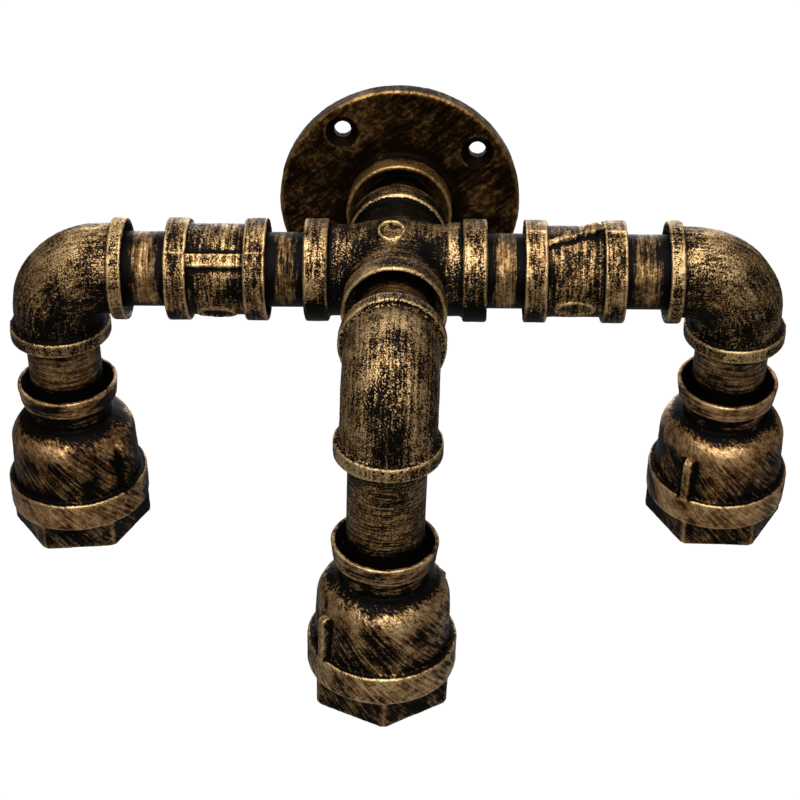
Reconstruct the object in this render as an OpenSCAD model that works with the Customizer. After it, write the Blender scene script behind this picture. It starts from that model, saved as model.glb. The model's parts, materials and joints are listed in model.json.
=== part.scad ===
// Wall light made of threaded iron pipe fittings.
// A round flange carries a cross on a short nipple. Two side arms and one front arm
// run out of the cross to elbows that point down, and each elbow carries a bell
// fitting whose hexagon bush holds a lamp socket.
// The wall is the plane Y = 0, the light stands out towards -Y, and Z is up.

/* [Pipe] */
// Outside diameter of the pipe nipples
pipe_od = 26.9; // [25:0.1:30]
// Bore of the pipe nipples
pipe_bore = 21.6; // [20:0.1:23]
// How far the thread on a nipple's end lies below the pipe's surface
thread_cut = 0.25; // [0.1:0.05:0.5]
// Length of thread screwed into each fitting
thread_engage = 13; // [11:0.5:16]
// Share of a mouth's funnel that the plain pipe goes into
pipe_in = 0.6; // [0.2:0.05:0.8]
// Radial clearance of a nipple's thread in its fitting
thread_gap = 0.05; // [0.02:0.01:0.1]

/* [Fittings] */
// Wall of a fitting's body over its thread
fitting_wall = 3.05; // [2.5:0.05:5]
// Height of the bands above the body
band_height = 2.1; // [1:0.1:4]
// Rounding of the band edges
band_round = 0.8; // [0.3:0.1:1]
// Width of the rim that is left round a mouth
rim_land = 1.2; // [1:0.1:2.5]
// Depth of the funnel in each mouth
mouth_depth = 7; // [2:0.5:8]

/* [Flange] */
// Diameter of the wall flange
flange_d = 92; // [88:1:120]
// Thickness of the flange's plate
flange_t = 6.2; // [4.5:0.1:9]
// Rounding of the plate's front edge
flange_round = 1.5; // [0.5:0.1:2.5]
// Wall of the flange's boss over its thread
boss_wall = 6.85; // [5:0.05:9]
// Width of the rim that is left round the boss's mouth
boss_land = 1.3; // [1:0.1:2.5]
// Depth of the funnel in the boss's mouth
boss_mouth_depth = 8; // [4:0.5:9]
// Fillet at the foot of the boss
boss_fillet = 2; // [1:0.1:3]
// Depth of the cable inlet in the flange's back
inlet_depth = 3; // [2:0.1:4]
// Step between the boss's thread and the cable inlet
inlet_step = 2.75; // [1.5:0.05:4]
// Diameter of the circle that the wall screws lie on
screw_circle_d = 73; // [68:0.5:76]
// Diameter of the wall screws' holes
screw_hole_d = 6.5; // [4.5:0.1:7.5]
// Diameter of the screw heads' countersinks
screw_head_d = 12.2; // [9:0.1:14]
// Turn of the first screw hole from +X
screw_turn = 36; // [0:1:90]

/* [Cross] */
// Room from the cross's centre to the nipple ends, beyond the thread's radius
cross_room = 6.3; // [4:0.1:12]
// Width of the cross's bands
cross_band = 8.7; // [5:0.1:10]
// Bend radius of the blends between neighbouring branches
cross_blend = 22; // [19:0.5:23]
// How far those blends lie below the crowns of the branches
blend_sink = 0.8; // [0.4:0.1:2]

/* [Couplings] */
// Room between the two nipple ends inside a coupling
coupling_room = 9.8; // [6:0.1:20]
// Width of a coupling's bands
coupling_band = 8; // [5:0.1:11]
// Width of the flat ribs along a coupling
coupling_rib_w = 4.5; // [2:0.1:8]
// Height of those ribs above the coupling's body
coupling_rib_h = 1.6; // [0.4:0.1:1.8]
// Turn of the left coupling's ribs up from the front
left_rib_turn = 38; // [0:1:90]
// Turn of the right coupling's ribs up from the front
right_rib_turn = 70; // [0:1:90]

/* [Elbows] */
// Room from an elbow's centre to the nipple ends, beyond the thread's radius
elbow_room = 1; // [0.5:0.1:4]
// Inside corner radius of an elbow
elbow_crotch = 0.9; // [0.5:0.1:4]
// Width of an elbow's bands
elbow_band = 5.2; // [3:0.1:7]

/* [Arms] */
// Bare nipple between the flange's boss and the cross
back_gap = 12; // [8:0.5:60]
// Bare nipple between the cross and each coupling
inner_gap = 13.2; // [8:0.1:60]
// Bare nipple between each coupling and its elbow
outer_gap = 14.9; // [8:0.1:60]
// Bare nipple between the cross and the front elbow
front_gap = 16.7; // [8:0.1:60]
// Bare nipple between a side elbow and its bell
side_drop = 20; // [8:0.1:80]
// Bare nipple between the front elbow and its bell
front_drop = 35.7; // [8:0.1:80]
// Tilt of the left lamp towards the wall
left_tilt = 1; // [-10:0.5:10]
// Tilt of the right lamp towards the wall
right_tilt = 5; // [-10:0.5:10]
// Tilt of the front lamp towards the left
front_tilt = 2; // [-10:0.5:10]

/* [Bells] */
// Width of the band at a bell's top
bell_collar = 7.2; // [4:0.1:9]
// How far that band stands out beyond the other bands
collar_rise = 0.3; // [0:0.1:1]
// How much narrower that band is at its lower edge
collar_taper = 1; // [0:0.1:1.2]
// Wall of the neck below that band
neck_wall = 2.05; // [1.5:0.05:2.6]
// Length of the neck
neck_h = 7.1; // [2.2:0.1:9]
// Fillets at both ends of the neck
neck_round = 1.2; // [0.6:0.1:1.2]
// Radius of the rounded shoulder
bell_shoulder = 10; // [8.5:0.5:12]
// Length of bore beyond the nipple's end in the bell
thread_runout = 1.5; // [0.5:0.1:3]
// Room round the lamp holder's cap in the bell's throat
throat_gap = 2.5; // [1:0.1:4]
// Wall of the bell over its lower thread
bell_wall = 3; // [2.4:0.1:5]
// How much wider the bell grows from its shoulder down to its band
bell_flare = 0.7; // [0:0.1:1.5]
// Height of the whole bell
bell_h = 52; // [50:0.5:70]
// Height of the band at a bell's foot
bell_band_h = 11.3; // [8:0.1:14]
// Wall of that band over the lower thread
bell_band_wall = 5.45; // [4.5:0.05:8]
// Width of the upright ribs on a bell
bell_rib_w = 3; // [2:0.1:6]
// Height of those ribs above the bell's side
bell_rib_h = 2.2; // [0.6:0.1:2.4]
// Length of those ribs above the foot band
bell_rib_len = 17; // [10:0.5:20]
// Turn of the left bell's ribs from +X
left_bell_turn = -32; // [-180:1:180]
// Turn of the right bell's ribs from +X
right_bell_turn = -126; // [-180:1:180]
// Turn of the front bell's ribs from +X
front_bell_turn = -144; // [-180:1:180]

/* [Hexagon bushes] */
// How far the hexagon's flats lie inside the bell's side
hex_step = 0.95; // [0.2:0.05:1.5]
// Height of the hexagon
hex_h = 10.8; // [7:0.1:16]
// How far the hexagon's corners are turned down
hex_trim = 0.6; // [0.1:0.1:1.5]
// Chamfer round the hexagon's lower face
hex_chamfer = 0.6; // [0.2:0.1:1.5]
// Length of the bush's thread in the bell
bush_engage = 13; // [8:0.5:16]
// Wall of that thread over the lamp holder
bush_wall = 1.5; // [1.2:0.1:3]
// Height of the lip that carries the lamp holder
lip_h = 3.5; // [2:0.1:5]
// Width of that lip
lip_w = 2.4; // [1:0.1:3.5]
// Turn of the left hexagon's first corner from +X
left_hex_turn = 6; // [-30:1:60]
// Turn of the right hexagon's first corner from +X
right_hex_turn = -2; // [-30:1:60]
// Turn of the front hexagon's first corner from +X
front_hex_turn = 34; // [-30:1:60]

/* [Lamp holders] */
// Diameter of the porcelain lamp holder
holder_d = 38.4; // [37:0.1:44]
// Radial clearance of the holder in its bush
holder_gap = 0.2; // [0.1:0.05:0.4]
// Depth of the socket in the holder
socket_depth = 24.5; // [24:0.5:27]
// Thickness of the porcelain behind the socket
holder_base = 4; // [3:0.1:6]
// Diameter of the terminal cap on the holder
holder_cap_d = 29; // [27:0.1:32]
// Height of the terminal cap
holder_cap_h = 6; // [5:0.1:7]
// Bore of the screw shell
shell_bore_d = 26.9; // [26:0.1:28]
// Wall of the screw shell
shell_wall = 0.5; // [0.3:0.05:0.8]
// Length of the screw shell
shell_len = 23; // [18:0.5:24]
// Radial clearance of the shell in the porcelain
shell_gap = 0.05; // [0.02:0.01:0.1]
// Diameter of the centre contact
contact_d = 8; // [5:0.1:10]
// Height of the centre contact's rim
contact_rim = 1; // [0.6:0.1:1.5]
// Height of the centre contact's dome
contact_dome = 2; // [1:0.1:2.2]
// Clearance round the contact in its well and in the shell's base
contact_gap = 2; // [1:0.1:3]

/* [Wiring] */
// Diameter of the cable inside the pipes
cable_d = 5; // [4:0.1:6]
// Radial clearance of a cable in its terminal hole
cable_fit = 0.2; // [0.1:0.05:0.3]
// Gap in a cable where an arm swivels
cable_split = 0.3; // [0.2:0.1:0.6]
// Gap between neighbouring cables in the flange's nipple
cable_gap = 1.5; // [0.8:0.1:1.8]
// Bend radius of the side cables in the cross
feed_bend = 20; // [18:0.5:22]
// Depth of the cable's hole in a lamp holder
holder_hole_depth = 5; // [4:0.5:6]
// Length of the terminal block
block_len = 15; // [13:0.5:20]
// Depth of the cables' holes in the terminal block
block_hole_depth = 6; // [4:0.5:7]
// Radial clearance of the block in the flange's nipple
block_gap = 0.05; // [0.02:0.01:0.1]
// Diameter of a terminal screw's shank
terminal_d = 3; // [2.5:0.1:3.5]
// Diameter of a terminal screw's head
terminal_head_d = 5.2; // [4:0.1:6]
// Height of a terminal screw's head
terminal_head_h = 2; // [1.4:0.1:2.5]
// Length of a terminal screw's shank
terminal_len = 5; // [3:0.1:6]
// Width and depth of a terminal screw's slot
terminal_slot = 0.8; // [0.5:0.1:1.2]
// Radial clearance of a terminal screw in its hole
terminal_gap = 0.05; // [0.02:0.01:0.1]
// Distance of a terminal screw from its holder's or block's centre
terminal_reach = 6.8; // [6:0.1:7.5]

/* [Hidden] */
$fn = 96;
ARC_STEPS = 6;
CUT_OVER = 1;
LEFT = 0;
RIGHT = 1;
FRONT = 2;

// Radii that the fittings and nipples share
thread_r = pipe_od / 2 - thread_cut;
bore_r = thread_r + thread_gap;
body_r = bore_r + fitting_wall;
band_r = body_r + band_height;
mouth_r = band_r - rim_land;

// Reach of each fitting from its centre or back to its mouth
flange_h = inlet_depth + thread_engage;
cross_reach = thread_r + cross_room + thread_engage;
coupling_len = coupling_room + 2 * thread_engage;
elbow_bend = body_r + elbow_crotch;
elbow_reach = thread_r + elbow_room + thread_engage;

// Places of the fittings in the light
cross_y = -(flange_h + back_gap + cross_reach);
coupling_x = cross_reach + inner_gap;
side_mouth_x = coupling_x + coupling_len + outer_gap;
side_leg_x = side_mouth_x + elbow_reach;
front_mouth_y = cross_y - cross_reach - front_gap;
front_leg_y = front_mouth_y - elbow_reach;

// Each arm's elbow centre, tilt, heading, bare drop and turns of rib and hexagon
ARM_AT = [[-side_leg_x, cross_y, 0], [side_leg_x, cross_y, 0], [0, front_leg_y, 0]];
ARM_TILT = [[left_tilt, 0, 0], [right_tilt, 0, 0], [0, front_tilt, 0]];
ARM_HEADING = [0, 180, 90];
ARM_DROP = [side_drop, side_drop, front_drop];
BELL_TURN = [left_bell_turn, right_bell_turn, front_bell_turn];
HEX_TURN = [left_hex_turn, right_hex_turn, front_hex_turn];

// Radii in the bell, from the lamp holder outwards
holder_r = holder_d / 2;
bush_bore_r = holder_r + holder_gap;
bush_r = bush_bore_r + bush_wall;
bell_bore_r = bush_r + thread_gap;
bell_foot_r = bell_bore_r + bell_wall;
bell_band_r = bell_bore_r + bell_band_wall;
bell_top_r = bell_foot_r - bell_flare;
neck_r = bore_r + neck_wall;
lip_r = bush_bore_r - lip_w;
hex_af = 2 * (bell_foot_r - hex_step);
hex_r = hex_af / 2 / cos(30) - hex_trim;
cap_r = holder_cap_d / 2;
throat_r = cap_r + throat_gap;

// Levels in the bell, counted down from its top
neck_end = bell_collar + neck_h;
socket_end = thread_engage + thread_runout;
hex_end = bell_h + hex_h;
holder_face = hex_end - lip_h;
socket_floor = holder_face - socket_depth;
holder_seat = socket_floor - holder_base;
holder_top = holder_seat - holder_cap_h;

// Radii and places in the lamp holder and the terminal block
shell_bore_r = shell_bore_d / 2;
shell_r = shell_bore_r + shell_wall;
shell_seat_r = shell_r + shell_gap;
contact_r = contact_d / 2;
well_r = contact_r + contact_gap;
well_floor = socket_floor - contact_rim - contact_dome;
cable_r = cable_d / 2;
cable_hole_r = cable_r + cable_fit;
cable_pitch = cable_d + cable_gap;
block_r = pipe_bore / 2 - block_gap;
block_back = inlet_depth + terminal_head_h;
block_front = block_back + block_len;
feed_end = block_front - block_hole_depth;

// Colours of the finishes
cast_bronze = [0.36, 0.27, 0.15];
pipe_bronze = [0.42, 0.31, 0.17];
porcelain = [0.93, 0.92, 0.88];
brass = [0.79, 0.64, 0.32];
cable_black = [0.08, 0.08, 0.08];
block_grey = [0.75, 0.75, 0.72];

// Points of an arc about a centre, from one angle to another
function arc(centre, r, from, to) =
    [for (i = [0:ARC_STEPS]) let (a = from + (to - from) * i / ARC_STEPS) centre + r * [cos(a), sin(a)]];

// Outer edge of a rounded band between two levels, narrower at the second by a taper
function band_edge(r, low, high, taper = 0) = concat(
    arc([r - band_round, low + band_round], band_round, -90, 0),
    arc([r - taper - band_round, high - band_round], band_round, 0, 90));

module turned(points) {
    rotate_extrude() polygon(points);
}

// Puts something that points up +Z on the axis +X
module along_x() {
    rotate([0, 90, 0]) children();
}

// Puts something that points up +Z on the axis -Y, away from the wall
module off_wall() {
    rotate([90, 0, 0]) children();
}

// One branch of a fitting: body and mouth band, from a level up to the mouth
module branch(from, mouth, band) {
    turned(concat(
        [[0, from], [body_r, from], [body_r, mouth - band]],
        band_edge(band_r, mouth - band, mouth),
        [[0, mouth]]));
}

// Thread and mouth funnel cut into a branch, from a level up past the mouth
module branch_cut(from, mouth) {
    turned([[0, from], [bore_r, from], [bore_r, mouth - mouth_depth], [mouth_r, mouth],
        [mouth_r, mouth + CUT_OVER], [0, mouth + CUT_OVER]]);
}

// Nipple along +Z whose bare pipe shows over a gap that starts at the origin
module nipple(gap) {
    plain_from = -pipe_in * mouth_depth;
    plain_to = gap - plain_from;
    color(pipe_bronze) turned([
        [pipe_bore / 2, -thread_engage], [thread_r, -thread_engage],
        [thread_r, plain_from - thread_cut], [pipe_od / 2, plain_from],
        [pipe_od / 2, plain_to], [thread_r, plain_to + thread_cut],
        [thread_r, gap + thread_engage], [pipe_bore / 2, gap + thread_engage]]);
}

// Quarter ring of round section about Z, from +X to +Y
module quarter_ring(bend, r) {
    rotate_extrude(angle = 90) translate([bend, 0]) circle(r = r);
}

module screw_holes() {
    sink = (screw_head_d - screw_hole_d) / 2;
    for (i = [0:3]) rotate([0, 0, screw_turn + 90 * i]) translate([screw_circle_d / 2, 0, 0])
        turned([[0, -CUT_OVER], [screw_hole_d / 2, -CUT_OVER], [screw_hole_d / 2, flange_t - sink],
            [screw_head_d / 2, flange_t], [screw_head_d / 2, flange_t + CUT_OVER], [0, flange_t + CUT_OVER]]);
}

module wall_flange() {
    boss_r = bore_r + boss_wall;
    inlet_r = bore_r + inlet_step;
    edge_r = flange_d / 2 - flange_round;
    color(cast_bronze) off_wall() difference() {
        turned(concat(
            [[inlet_r, 0], [flange_d / 2, 0]],
            arc([edge_r, flange_t - flange_round], flange_round, 0, 90),
            arc([boss_r + boss_fillet, flange_t + boss_fillet], boss_fillet, 270, 180),
            arc([boss_r - band_round, flange_h - band_round], band_round, 0, 90),
            [[boss_r - boss_land, flange_h], [bore_r, flange_h - boss_mouth_depth],
             [bore_r, inlet_depth], [inlet_r, inlet_depth]]));
        screw_holes();
    }
}

module flange_nipple() {
    translate([0, -flange_h, 0]) off_wall() nipple(back_gap);
}

module cross_fitting() {
    color(cast_bronze) translate([0, cross_y, 0]) difference() {
        union() {
            for (a = [0:90:270]) rotate([0, 0, a]) {
                along_x() branch(0, cross_reach, cross_band);
                translate([cross_blend, cross_blend, 0]) rotate([0, 0, 180])
                    quarter_ring(cross_blend, body_r - blend_sink);
            }
        }
        for (a = [0:90:270]) rotate([0, 0, a]) along_x() branch_cut(0, cross_reach);
    }
}

// Nipple of a side arm; side is -1 for left and 1 for right
module side_nipple(side, x, gap) {
    translate([side * x, cross_y, 0]) rotate([0, side * 90, 0]) nipple(gap);
}

module front_nipple() {
    translate([0, cross_y - cross_reach, 0]) off_wall() nipple(front_gap);
}

module coupling(side, turn) {
    rib_len = coupling_len - 2 * coupling_band + 2 * band_round;
    rib_foot = bore_r + fitting_wall / 2;
    rib_rise = body_r + coupling_rib_h - rib_foot;
    color(cast_bronze) translate([side * (coupling_x + coupling_len / 2), cross_y, 0]) {
        along_x() translate([0, 0, -coupling_len / 2]) turned(concat(
            [[bore_r, mouth_depth], [mouth_r, 0]],
            band_edge(band_r, 0, coupling_band),
            [[body_r, coupling_band], [body_r, coupling_len - coupling_band]],
            band_edge(band_r, coupling_len - coupling_band, coupling_len),
            [[mouth_r, coupling_len], [bore_r, coupling_len - mouth_depth]]));
        for (a = [0, 180]) rotate([a - turn, 0, 0])
            translate([-rib_len / 2, -rib_foot - rib_rise, -coupling_rib_w / 2])
                cube([rib_len, rib_rise, coupling_rib_w]);
    }
}

module terminal_block() {
    color(block_grey) off_wall() difference() {
        translate([0, 0, block_back]) cylinder(r = block_r, h = block_len);
        for (i = [-1:1]) translate([i * cable_pitch, 0, feed_end])
            cylinder(r = cable_hole_r, h = block_hole_depth + CUT_OVER);
        for (s = [-1, 1]) translate([0, s * terminal_reach, block_back - CUT_OVER])
            cylinder(r = terminal_d / 2 + terminal_gap, h = terminal_len + CUT_OVER);
    }
}

// Slotted screw that stands on Z = 0 with its shank below
module terminal_screw() {
    color(brass) difference() {
        union() {
            cylinder(d = terminal_head_d, h = terminal_head_h);
            translate([0, 0, -terminal_len]) cylinder(d = terminal_d, h = terminal_len);
        }
        translate([-terminal_head_d, -terminal_slot / 2, terminal_head_h - terminal_slot])
            cube([2 * terminal_head_d, terminal_slot, 2 * terminal_slot]);
    }
}

module terminal_block_screws() {
    for (s = [-1, 1]) translate([0, -block_back, s * terminal_reach]) rotate([-90, 0, 0]) terminal_screw();
}

module side_feed_cable(side) {
    bend_x = cable_pitch + feed_bend;
    run_x = side_mouth_x - cable_split / 2 - bend_x;
    run_y = -cross_y - feed_bend - feed_end;
    color(cable_black) mirror([side < 0 ? 1 : 0, 0, 0]) {
        translate([bend_x, cross_y, 0]) along_x() cylinder(r = cable_r, h = run_x);
        translate([bend_x, cross_y + feed_bend, 0]) rotate([0, 0, 180]) quarter_ring(feed_bend, cable_r);
        translate([cable_pitch, -feed_end, 0]) off_wall() cylinder(r = cable_r, h = run_y);
    }
}

module front_feed_cable() {
    run_y = -front_mouth_y - cable_split / 2 - feed_end;
    color(cable_black) translate([0, -feed_end, 0]) off_wall() cylinder(r = cable_r, h = run_y);
}

// Frame of an arm: elbow centre at the origin, mouth towards +X, leg down -Z
module in_arm(arm) {
    translate(ARM_AT[arm]) rotate(ARM_TILT[arm]) rotate([0, 0, ARM_HEADING[arm]]) children();
}

// Frame of a lamp: bell's top at the origin, +Z down, turned from +X by an angle
module in_lamp(arm, turn = 0) {
    in_arm(arm) translate([0, 0, -elbow_reach - ARM_DROP[arm]]) rotate([180, 0, 0])
        rotate([0, 0, ARM_HEADING[arm] - turn]) children();
}

// Puts a quarter ring between an elbow's mouth branch and its leg
module in_elbow() {
    translate([elbow_bend, 0, -elbow_bend]) rotate([90, 0, 0]) rotate([0, 0, 90]) children();
}

module elbow(arm) {
    color(cast_bronze) in_arm(arm) difference() {
        union() {
            along_x() branch(elbow_bend, elbow_reach, elbow_band);
            rotate([180, 0, 0]) branch(elbow_bend, elbow_reach, elbow_band);
            in_elbow() quarter_ring(elbow_bend, body_r);
        }
        along_x() branch_cut(thread_r + elbow_room / 2, elbow_reach);
        rotate([180, 0, 0]) branch_cut(thread_r + elbow_room / 2, elbow_reach);
        in_elbow() quarter_ring(elbow_bend, pipe_bore / 2);
    }
}

module drop_nipple(arm) {
    in_arm(arm) translate([0, 0, -elbow_reach]) rotate([180, 0, 0]) nipple(ARM_DROP[arm]);
}

module bell(arm) {
    shoulder_at = [bell_top_r - bell_shoulder, neck_end + bell_shoulder];
    neck_away = neck_r + neck_round - shoulder_at[0];
    neck_up = sqrt(pow(bell_shoulder + neck_round, 2) - pow(neck_away, 2));
    shoulder_from = -atan2(neck_up, neck_away);
    band_top = bell_h - bell_band_h;
    rib_rise = bell_wall + bell_rib_h;
    color(cast_bronze) in_lamp(arm, BELL_TURN[arm]) {
        turned(concat(
            [[bore_r, mouth_depth], [mouth_r, 0]],
            band_edge(band_r + collar_rise, 0, bell_collar, collar_taper),
            arc([neck_r + neck_round, bell_collar + neck_round], neck_round, 270, 180),
            arc([neck_r + neck_round, shoulder_at[1] - neck_up], neck_round, 180, 180 + shoulder_from),
            arc(shoulder_at, bell_shoulder, shoulder_from, 0),
            [[bell_foot_r, band_top]],
            band_edge(bell_band_r, band_top, bell_h),
            [[bell_bore_r, bell_h], [bell_bore_r, holder_seat], [throat_r, holder_seat],
             [throat_r, socket_end + throat_r - bore_r], [bore_r, socket_end]]));
        for (a = [0, 180]) rotate([0, 0, a])
            translate([bell_foot_r - bell_wall / 2, -bell_rib_w / 2, band_top - bell_rib_len])
                cube([rib_rise - bell_wall / 2, bell_rib_w, bell_rib_len + band_round]);
    }
}

module hex_bush(arm) {
    color(cast_bronze) in_lamp(arm, HEX_TURN[arm]) difference() {
        union() {
            translate([0, 0, bell_h - bush_engage]) cylinder(r = bush_r, h = bush_engage);
            intersection() {
                translate([0, 0, bell_h]) cylinder(d = hex_af / cos(30), h = hex_h, $fn = 6);
                turned([[0, bell_h], [hex_r, bell_h], [hex_r, hex_end - hex_chamfer],
                    [hex_r - hex_chamfer, hex_end], [0, hex_end]]);
            }
        }
        turned([[0, bell_h - bush_engage - CUT_OVER], [bush_bore_r, bell_h - bush_engage - CUT_OVER],
            [bush_bore_r, holder_face], [lip_r, holder_face], [lip_r, hex_end + CUT_OVER],
            [0, hex_end + CUT_OVER]]);
    }
}

module lamp_holder(arm) {
    color(porcelain) in_lamp(arm) difference() {
        turned([[0, holder_top], [cap_r, holder_top], [cap_r, holder_seat], [holder_r, holder_seat],
            [holder_r, holder_face], [shell_seat_r, holder_face], [shell_seat_r, socket_floor],
            [well_r, socket_floor], [well_r, well_floor], [0, well_floor]]);
        translate([0, 0, holder_top - CUT_OVER]) cylinder(r = cable_hole_r, h = holder_hole_depth + CUT_OVER);
        for (s = [-1, 1]) translate([s * terminal_reach, 0, holder_top - CUT_OVER])
            cylinder(r = terminal_d / 2 + terminal_gap, h = terminal_len + CUT_OVER);
    }
}

module screw_shell(arm) {
    base = socket_floor + shell_wall;
    face = socket_floor + shell_len;
    color(brass) in_lamp(arm) turned([
        [well_r, socket_floor], [shell_r, socket_floor], [shell_r, face], [shell_bore_r, face],
        [shell_bore_r, base], [well_r, base]]);
}

module centre_contact(arm) {
    dome_r = (pow(contact_r, 2) + pow(contact_dome, 2)) / (2 * contact_dome);
    dome_at = [0, socket_floor - dome_r];
    color(brass) in_lamp(arm) turned(concat(
        [[0, well_floor], [contact_r, well_floor]],
        arc(dome_at, dome_r, acos(contact_r / dome_r), 90)));
}

module terminal_screws(arm) {
    in_lamp(arm) for (s = [-1, 1]) translate([s * terminal_reach, 0, holder_top])
        rotate([180, 0, 0]) terminal_screw();
}

module arm_cable(arm) {
    mouth_run = elbow_reach - elbow_bend - cable_split / 2;
    leg_run = elbow_reach - elbow_bend + ARM_DROP[arm] + holder_top + holder_hole_depth;
    color(cable_black) in_arm(arm) {
        translate([elbow_bend, 0, 0]) along_x() cylinder(r = cable_r, h = mouth_run);
        in_elbow() quarter_ring(elbow_bend, cable_r);
        translate([0, 0, -elbow_bend]) rotate([180, 0, 0]) cylinder(r = cable_r, h = leg_run);
    }
}

wall_flange();
flange_nipple();
cross_fitting();
side_nipple(-1, cross_reach, inner_gap);  // left_inner_nipple
coupling(-1, left_rib_turn);  // left_coupling
side_nipple(-1, coupling_x + coupling_len, outer_gap);  // left_outer_nipple
side_nipple(1, cross_reach, inner_gap);  // right_inner_nipple
coupling(1, right_rib_turn);  // right_coupling
side_nipple(1, coupling_x + coupling_len, outer_gap);  // right_outer_nipple
front_nipple();
terminal_block();
terminal_block_screws();
side_feed_cable(-1);  // left_feed_cable
side_feed_cable(1);  // right_feed_cable
front_feed_cable();

elbow(LEFT);  // left_elbow
drop_nipple(LEFT);  // left_drop_nipple
bell(LEFT);  // left_bell
hex_bush(LEFT);  // left_hex_bush
lamp_holder(LEFT);  // left_lamp_holder
screw_shell(LEFT);  // left_screw_shell
centre_contact(LEFT);  // left_centre_contact
terminal_screws(LEFT);  // left_terminal_screws
arm_cable(LEFT);  // left_arm_cable

elbow(RIGHT);  // right_elbow
drop_nipple(RIGHT);  // right_drop_nipple
bell(RIGHT);  // right_bell
hex_bush(RIGHT);  // right_hex_bush
lamp_holder(RIGHT);  // right_lamp_holder
screw_shell(RIGHT);  // right_screw_shell
centre_contact(RIGHT);  // right_centre_contact
terminal_screws(RIGHT);  // right_terminal_screws
arm_cable(RIGHT);  // right_arm_cable

elbow(FRONT);  // front_elbow
drop_nipple(FRONT);  // front_drop_nipple
bell(FRONT);  // front_bell
hex_bush(FRONT);  // front_hex_bush
lamp_holder(FRONT);  // front_lamp_holder
screw_shell(FRONT);  // front_screw_shell
centre_contact(FRONT);  // front_centre_contact
terminal_screws(FRONT);  // front_terminal_screws
arm_cable(FRONT);  // front_arm_cable
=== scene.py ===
"""Wall light of iron pipe fittings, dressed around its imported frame.

Each group of like pieces has an operator that builds it in its own frame, lets a
geometry tree give it its threads, holes or cast skin, and sets it on its body.
Lengths are in metres.
"""

import json
import math

import bpy
import numpy as np
from bpy.props import FloatProperty, FloatVectorProperty, IntProperty, PointerProperty
from mathutils import Matrix, Vector


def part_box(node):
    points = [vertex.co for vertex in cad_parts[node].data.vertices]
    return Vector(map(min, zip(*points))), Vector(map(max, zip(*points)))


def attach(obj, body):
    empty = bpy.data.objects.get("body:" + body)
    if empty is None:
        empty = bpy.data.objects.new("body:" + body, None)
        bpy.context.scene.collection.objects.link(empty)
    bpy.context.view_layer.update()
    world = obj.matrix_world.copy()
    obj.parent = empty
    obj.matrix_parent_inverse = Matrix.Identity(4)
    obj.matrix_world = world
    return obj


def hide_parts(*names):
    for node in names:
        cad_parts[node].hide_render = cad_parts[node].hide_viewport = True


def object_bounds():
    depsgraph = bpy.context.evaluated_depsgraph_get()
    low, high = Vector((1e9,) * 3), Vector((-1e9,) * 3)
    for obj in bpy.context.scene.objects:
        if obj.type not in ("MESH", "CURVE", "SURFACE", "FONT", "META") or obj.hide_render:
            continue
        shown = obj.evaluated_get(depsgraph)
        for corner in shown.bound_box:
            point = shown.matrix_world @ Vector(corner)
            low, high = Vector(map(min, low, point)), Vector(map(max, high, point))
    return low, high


bl_info = {
    "name": "Pipe wall light",
    "version": (1, 0, 0),
    "blender": (4, 5, 0),
    "location": "View3D > Sidebar > Pipe light",
    "description": "Builds a bronze-brushed wall light of pipe fittings around its frame",
    "category": "Object",
}

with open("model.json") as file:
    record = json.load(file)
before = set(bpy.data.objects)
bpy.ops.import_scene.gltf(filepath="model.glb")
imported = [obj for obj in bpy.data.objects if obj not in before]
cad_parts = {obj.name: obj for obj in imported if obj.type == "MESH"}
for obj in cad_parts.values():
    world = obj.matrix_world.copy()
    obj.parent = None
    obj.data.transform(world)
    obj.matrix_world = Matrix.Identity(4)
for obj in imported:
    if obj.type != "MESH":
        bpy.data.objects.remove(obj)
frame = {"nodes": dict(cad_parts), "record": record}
CAD_BOX = [list(corner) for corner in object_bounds()]
RECORD = frame["record"]
SIDES = ("left", "right", "front")
MOUTH_WAY = {"left": Vector((1, 0, 0)), "right": Vector((-1, 0, 0)), "front": Vector((0, 1, 0))}
RIGHT = (1, 0, 0)
OUT = (0, -1, 0)
TURN = 2 * math.pi
MM_PER_METRE = 1000

# Directions that the brush came from, which are also where the front and back light falls from
BRUSH_AND_LIGHT_WAYS = ((0.0, -0.78, 0.62), (0.0, 0.72, 0.35))
# Bronze that faces turned away from the brush and the light go without: painted shade along with missed
# bronze
AWAY_PAINTED_SHADE = 0.30
# Rounding of small edges and lips, and length of pipe that keeps the brush out of a mouth
EDGE_ROUND = 0.0004
LIP_ROUND = 0.0003
PIPE_SEEN = 0.012

# Bronze that each arm's elbow and bell catch more (worn, with painted highlight) or less (missed, with
# painted shade), by place
ELBOW_WEAR_AND_LIGHT = {
    "left": {"crown_wear_and_highlight": 0.26, "flank_wear_and_middle_shade": 0.0, "inner_missed_and_shade": 0.16, "lower_missed_and_shade": 0.13},
    "right": {"crown_wear_and_highlight": 0.26, "flank_wear_and_middle_shade": 0.0, "inner_missed_and_shade": 0.20, "lower_missed_and_shade": 0.03},
    "front": {"crown_wear_and_highlight": 0.0, "flank_wear_and_middle_shade": 0.26, "inner_missed_and_shade": 0.0, "lower_missed_and_shade": 0.03},
}
BELL_WEAR_AND_LIGHT = {
    "left": {"collar_worn": 0.30, "band_worn": 0.22, "rib_wear_and_light": 0.25, "missed_and_shade": 0.16, "lower_side_darkening": 0.04},
    "right": {"collar_worn": 0.45, "band_worn": 0.30, "rib_wear_and_light": 1.0, "missed_and_shade": 0.04, "lower_side_darkening": 0.12},
    "front": {"collar_worn": 0.0, "band_worn": 0.30, "rib_wear_and_light": 1.0, "missed_and_shade": 0.04, "lower_side_darkening": 0.05},
}
BELL_RIB_LONGER = {"left": 0.004, "right": 0.0, "front": 0.0}

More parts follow.
